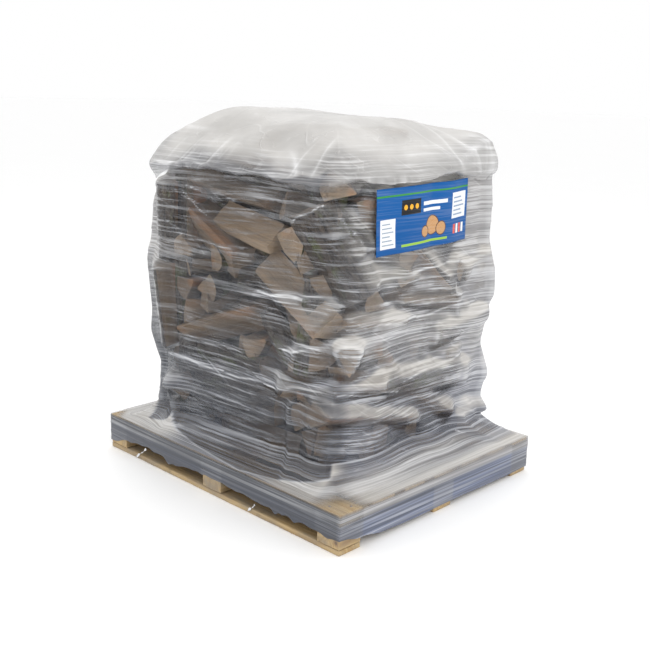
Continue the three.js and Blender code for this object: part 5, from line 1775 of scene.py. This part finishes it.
class FIREWOOD_OT_tails(bpy.types.Operator):
    """Builds the twisted tails of film on the front runner"""

    bl_idname = "firewood.tails"
    bl_label = "Film tails"

    def execute(self, context):
        material, n, shader = new_material("twisted film", Roughness=0.35, IOR=1.5)
        place = n.add("ShaderNodeTexCoord").outputs["Object"]
        streak = n.stretched(place, (260, 90, 60), 3, 0.6)
        n.set(shader["Base Color"], n.mix(streak, (0.60, 0.62, 0.66, 1), (0.92, 0.93, 0.95, 1)))
        relief(n, shader, streak, 0.0012)
        for k, ((x0, z0), (x1, z1)) in enumerate(TAILS):
            rows, columns = 36, 14
            t = np.linspace(0, 1, rows)[:, None]
            turn = np.linspace(0, 2 * np.pi, columns, endpoint=False)[None]
            along = np.array([x1 - x0, z1 - z0], float)
            long = np.hypot(*along)
            along /= long
            beside = np.array([-along[1], along[0]])
            wide = 2.6 + 3.8 * np.abs(t - 0.35) ** 0.8 + 0.8 * np.sin(t * 19 + k)
            twist = t * 7.5 + k
            a = wide * np.cos(turn)
            b = 0.9 * np.sin(turn) + 0.35 * np.sin(5 * turn + t * 20)
            width = a * np.cos(twist) * 0.75 + a * 0.25 - b * np.sin(twist) * 0.4
            depth = np.abs(a * np.sin(twist)) * 0.25 + b + 1.4
            path = np.array([x0, z0]) + along * (t * long) + beside * (1.5 * np.sin(t * 6))
            x = path[..., 0:1] + beside[0] * width
            z = path[..., 1:2] + beside[1] * width
            y = np.broadcast_to(-PALLET_WIDE / 2 - 0.5 - depth, x.shape)
            grid = np.stack([x, y, z], -1) * MM
            points = tube_points(grid)
            quads, fans = facing_out(points - points.mean(0), *tube_faces(rows, columns))
            piece = new_piece(f"tail_{k + 1}", points, quads, fans)
            dress(piece, material, "film_tail", f"film_tail_{k + 1}")
        return {"FINISHED"}


class FIREWOOD_OT_stage(bpy.types.Operator):
    """Sets up the camera, the pale floor and soft light"""

    bl_idname = "firewood.stage"
    bl_label = "Stage"

    def execute(self, context):
        settings = context.scene.firewood_stage
        camera = bpy.data.objects.new("camera", bpy.data.cameras.new("camera"))
        context.scene.collection.objects.link(camera)
        camera.data.lens, camera.data.sensor_width = settings.lens, 36
        a, e = settings.azimuth, settings.elevation
        back = Vector((math.sin(a) * math.cos(e), -math.cos(a) * math.cos(e), math.sin(e)))
        target = Vector(LOOK_AT)
        roll = Matrix.Rotation(math.radians(CAMERA_ROLL), 3, "Z")
        turn = (-back).to_track_quat("-Z", "Y").to_matrix() @ roll
        camera.matrix_world = Matrix.Translation(target + back * settings.distance) @ turn.to_4x4()
        context.scene.camera = camera
        half = 60.0
        corners = np.array([(-half, -half, 0), (half, -half, 0), (half, half, 0), (-half, half, 0)])
        floor = new_piece("floor", corners - [0, 0, 0.0005], np.array([[0, 1, 2, 3]]))
        material, n, shader = new_material("pale floor", Roughness=0.7)
        place = n.add("ShaderNodeTexCoord").outputs["Object"]
        n.set(shader["Base Color"], n.mix(n.noise(place, 1.5, 4), opaque(settings.floor), (1.0, 1.0, 1.0, 1)))
        floor.data.materials.append(material)
        for name, place, size, power, look in (
            ("key", (4.4, -1.6, 3.6), 2.4, 70, (0, 0, 0.6)),
            ("fill", (-1.6, -4.4, 2.2), 2.4, 22, (0, 0, 0.6)),
            ("top", (-0.4, 0.4, 4.4), 2.4, 40, (0, 0, 0.6)),
        ):
            lamp = bpy.data.lights.new(name, "AREA")
            lamp.energy, lamp.size = power, size
            holder = bpy.data.objects.new(name, lamp)
            holder.location = place
            holder.rotation_mode = "QUATERNION"
            holder.rotation_quaternion = (Vector(look) - Vector(place)).to_track_quat("-Z", "Y")
            context.scene.collection.objects.link(holder)
        world = bpy.data.worlds.new("studio")
        world.use_nodes = True
        sky = world.node_tree.nodes["Background"]
        sky.inputs["Color"].default_value = (1.0, 1.0, 1.0, 1)
        sky.inputs["Strength"].default_value = 1.0
        context.scene.world = world
        context.scene.view_settings.view_transform = "Standard"
        return {"FINISHED"}


class FIREWOOD_PT_panel(bpy.types.Panel):
    """Lists the settings and the pieces"""

    bl_idname = "FIREWOOD_PT_panel"
    bl_label = "Pallet of firewood"
    bl_space_type = "VIEW_3D"
    bl_region_type = "UI"
    bl_category = "Firewood"

    def draw(self, context):
        for name, kind in SETTINGS.items():
            box = self.layout.box()
            for key in kind.__annotations__:
                box.prop(getattr(context.scene, name), key)
        for operator in OPERATORS:
            self.layout.operator(operator.bl_idname)


SETTINGS = {
    "firewood_pallet": PalletSettings,
    "firewood_logs": LogSettings,
    "firewood_film": FilmSettings,
    "firewood_sheets": SheetSettings,
    "firewood_stage": StageSettings,
}
OPERATORS = (
    FIREWOOD_OT_stage, FIREWOOD_OT_pallet, FIREWOOD_OT_shown_logs, FIREWOOD_OT_heap, FIREWOOD_OT_film_wrap,
    FIREWOOD_OT_film_skirt, FIREWOOD_OT_cover, FIREWOOD_OT_print, FIREWOOD_OT_tails,
)


def register():
    for kind in (*SETTINGS.values(), *OPERATORS, FIREWOOD_PT_panel):
        bpy.utils.register_class(kind)
    for name, kind in SETTINGS.items():
        setattr(bpy.types.Scene, name, bpy.props.PointerProperty(type=kind))


def unregister():
    for name in SETTINGS:
        delattr(bpy.types.Scene, name)
    for kind in reversed((*SETTINGS.values(), *OPERATORS, FIREWOOD_PT_panel)):
        bpy.utils.unregister_class(kind)


def main():
    register()
    for operator in OPERATORS:
        area, name = operator.bl_idname.split(".")
        getattr(getattr(bpy.ops, area), name)()


if __name__ == "__main__":
    main()
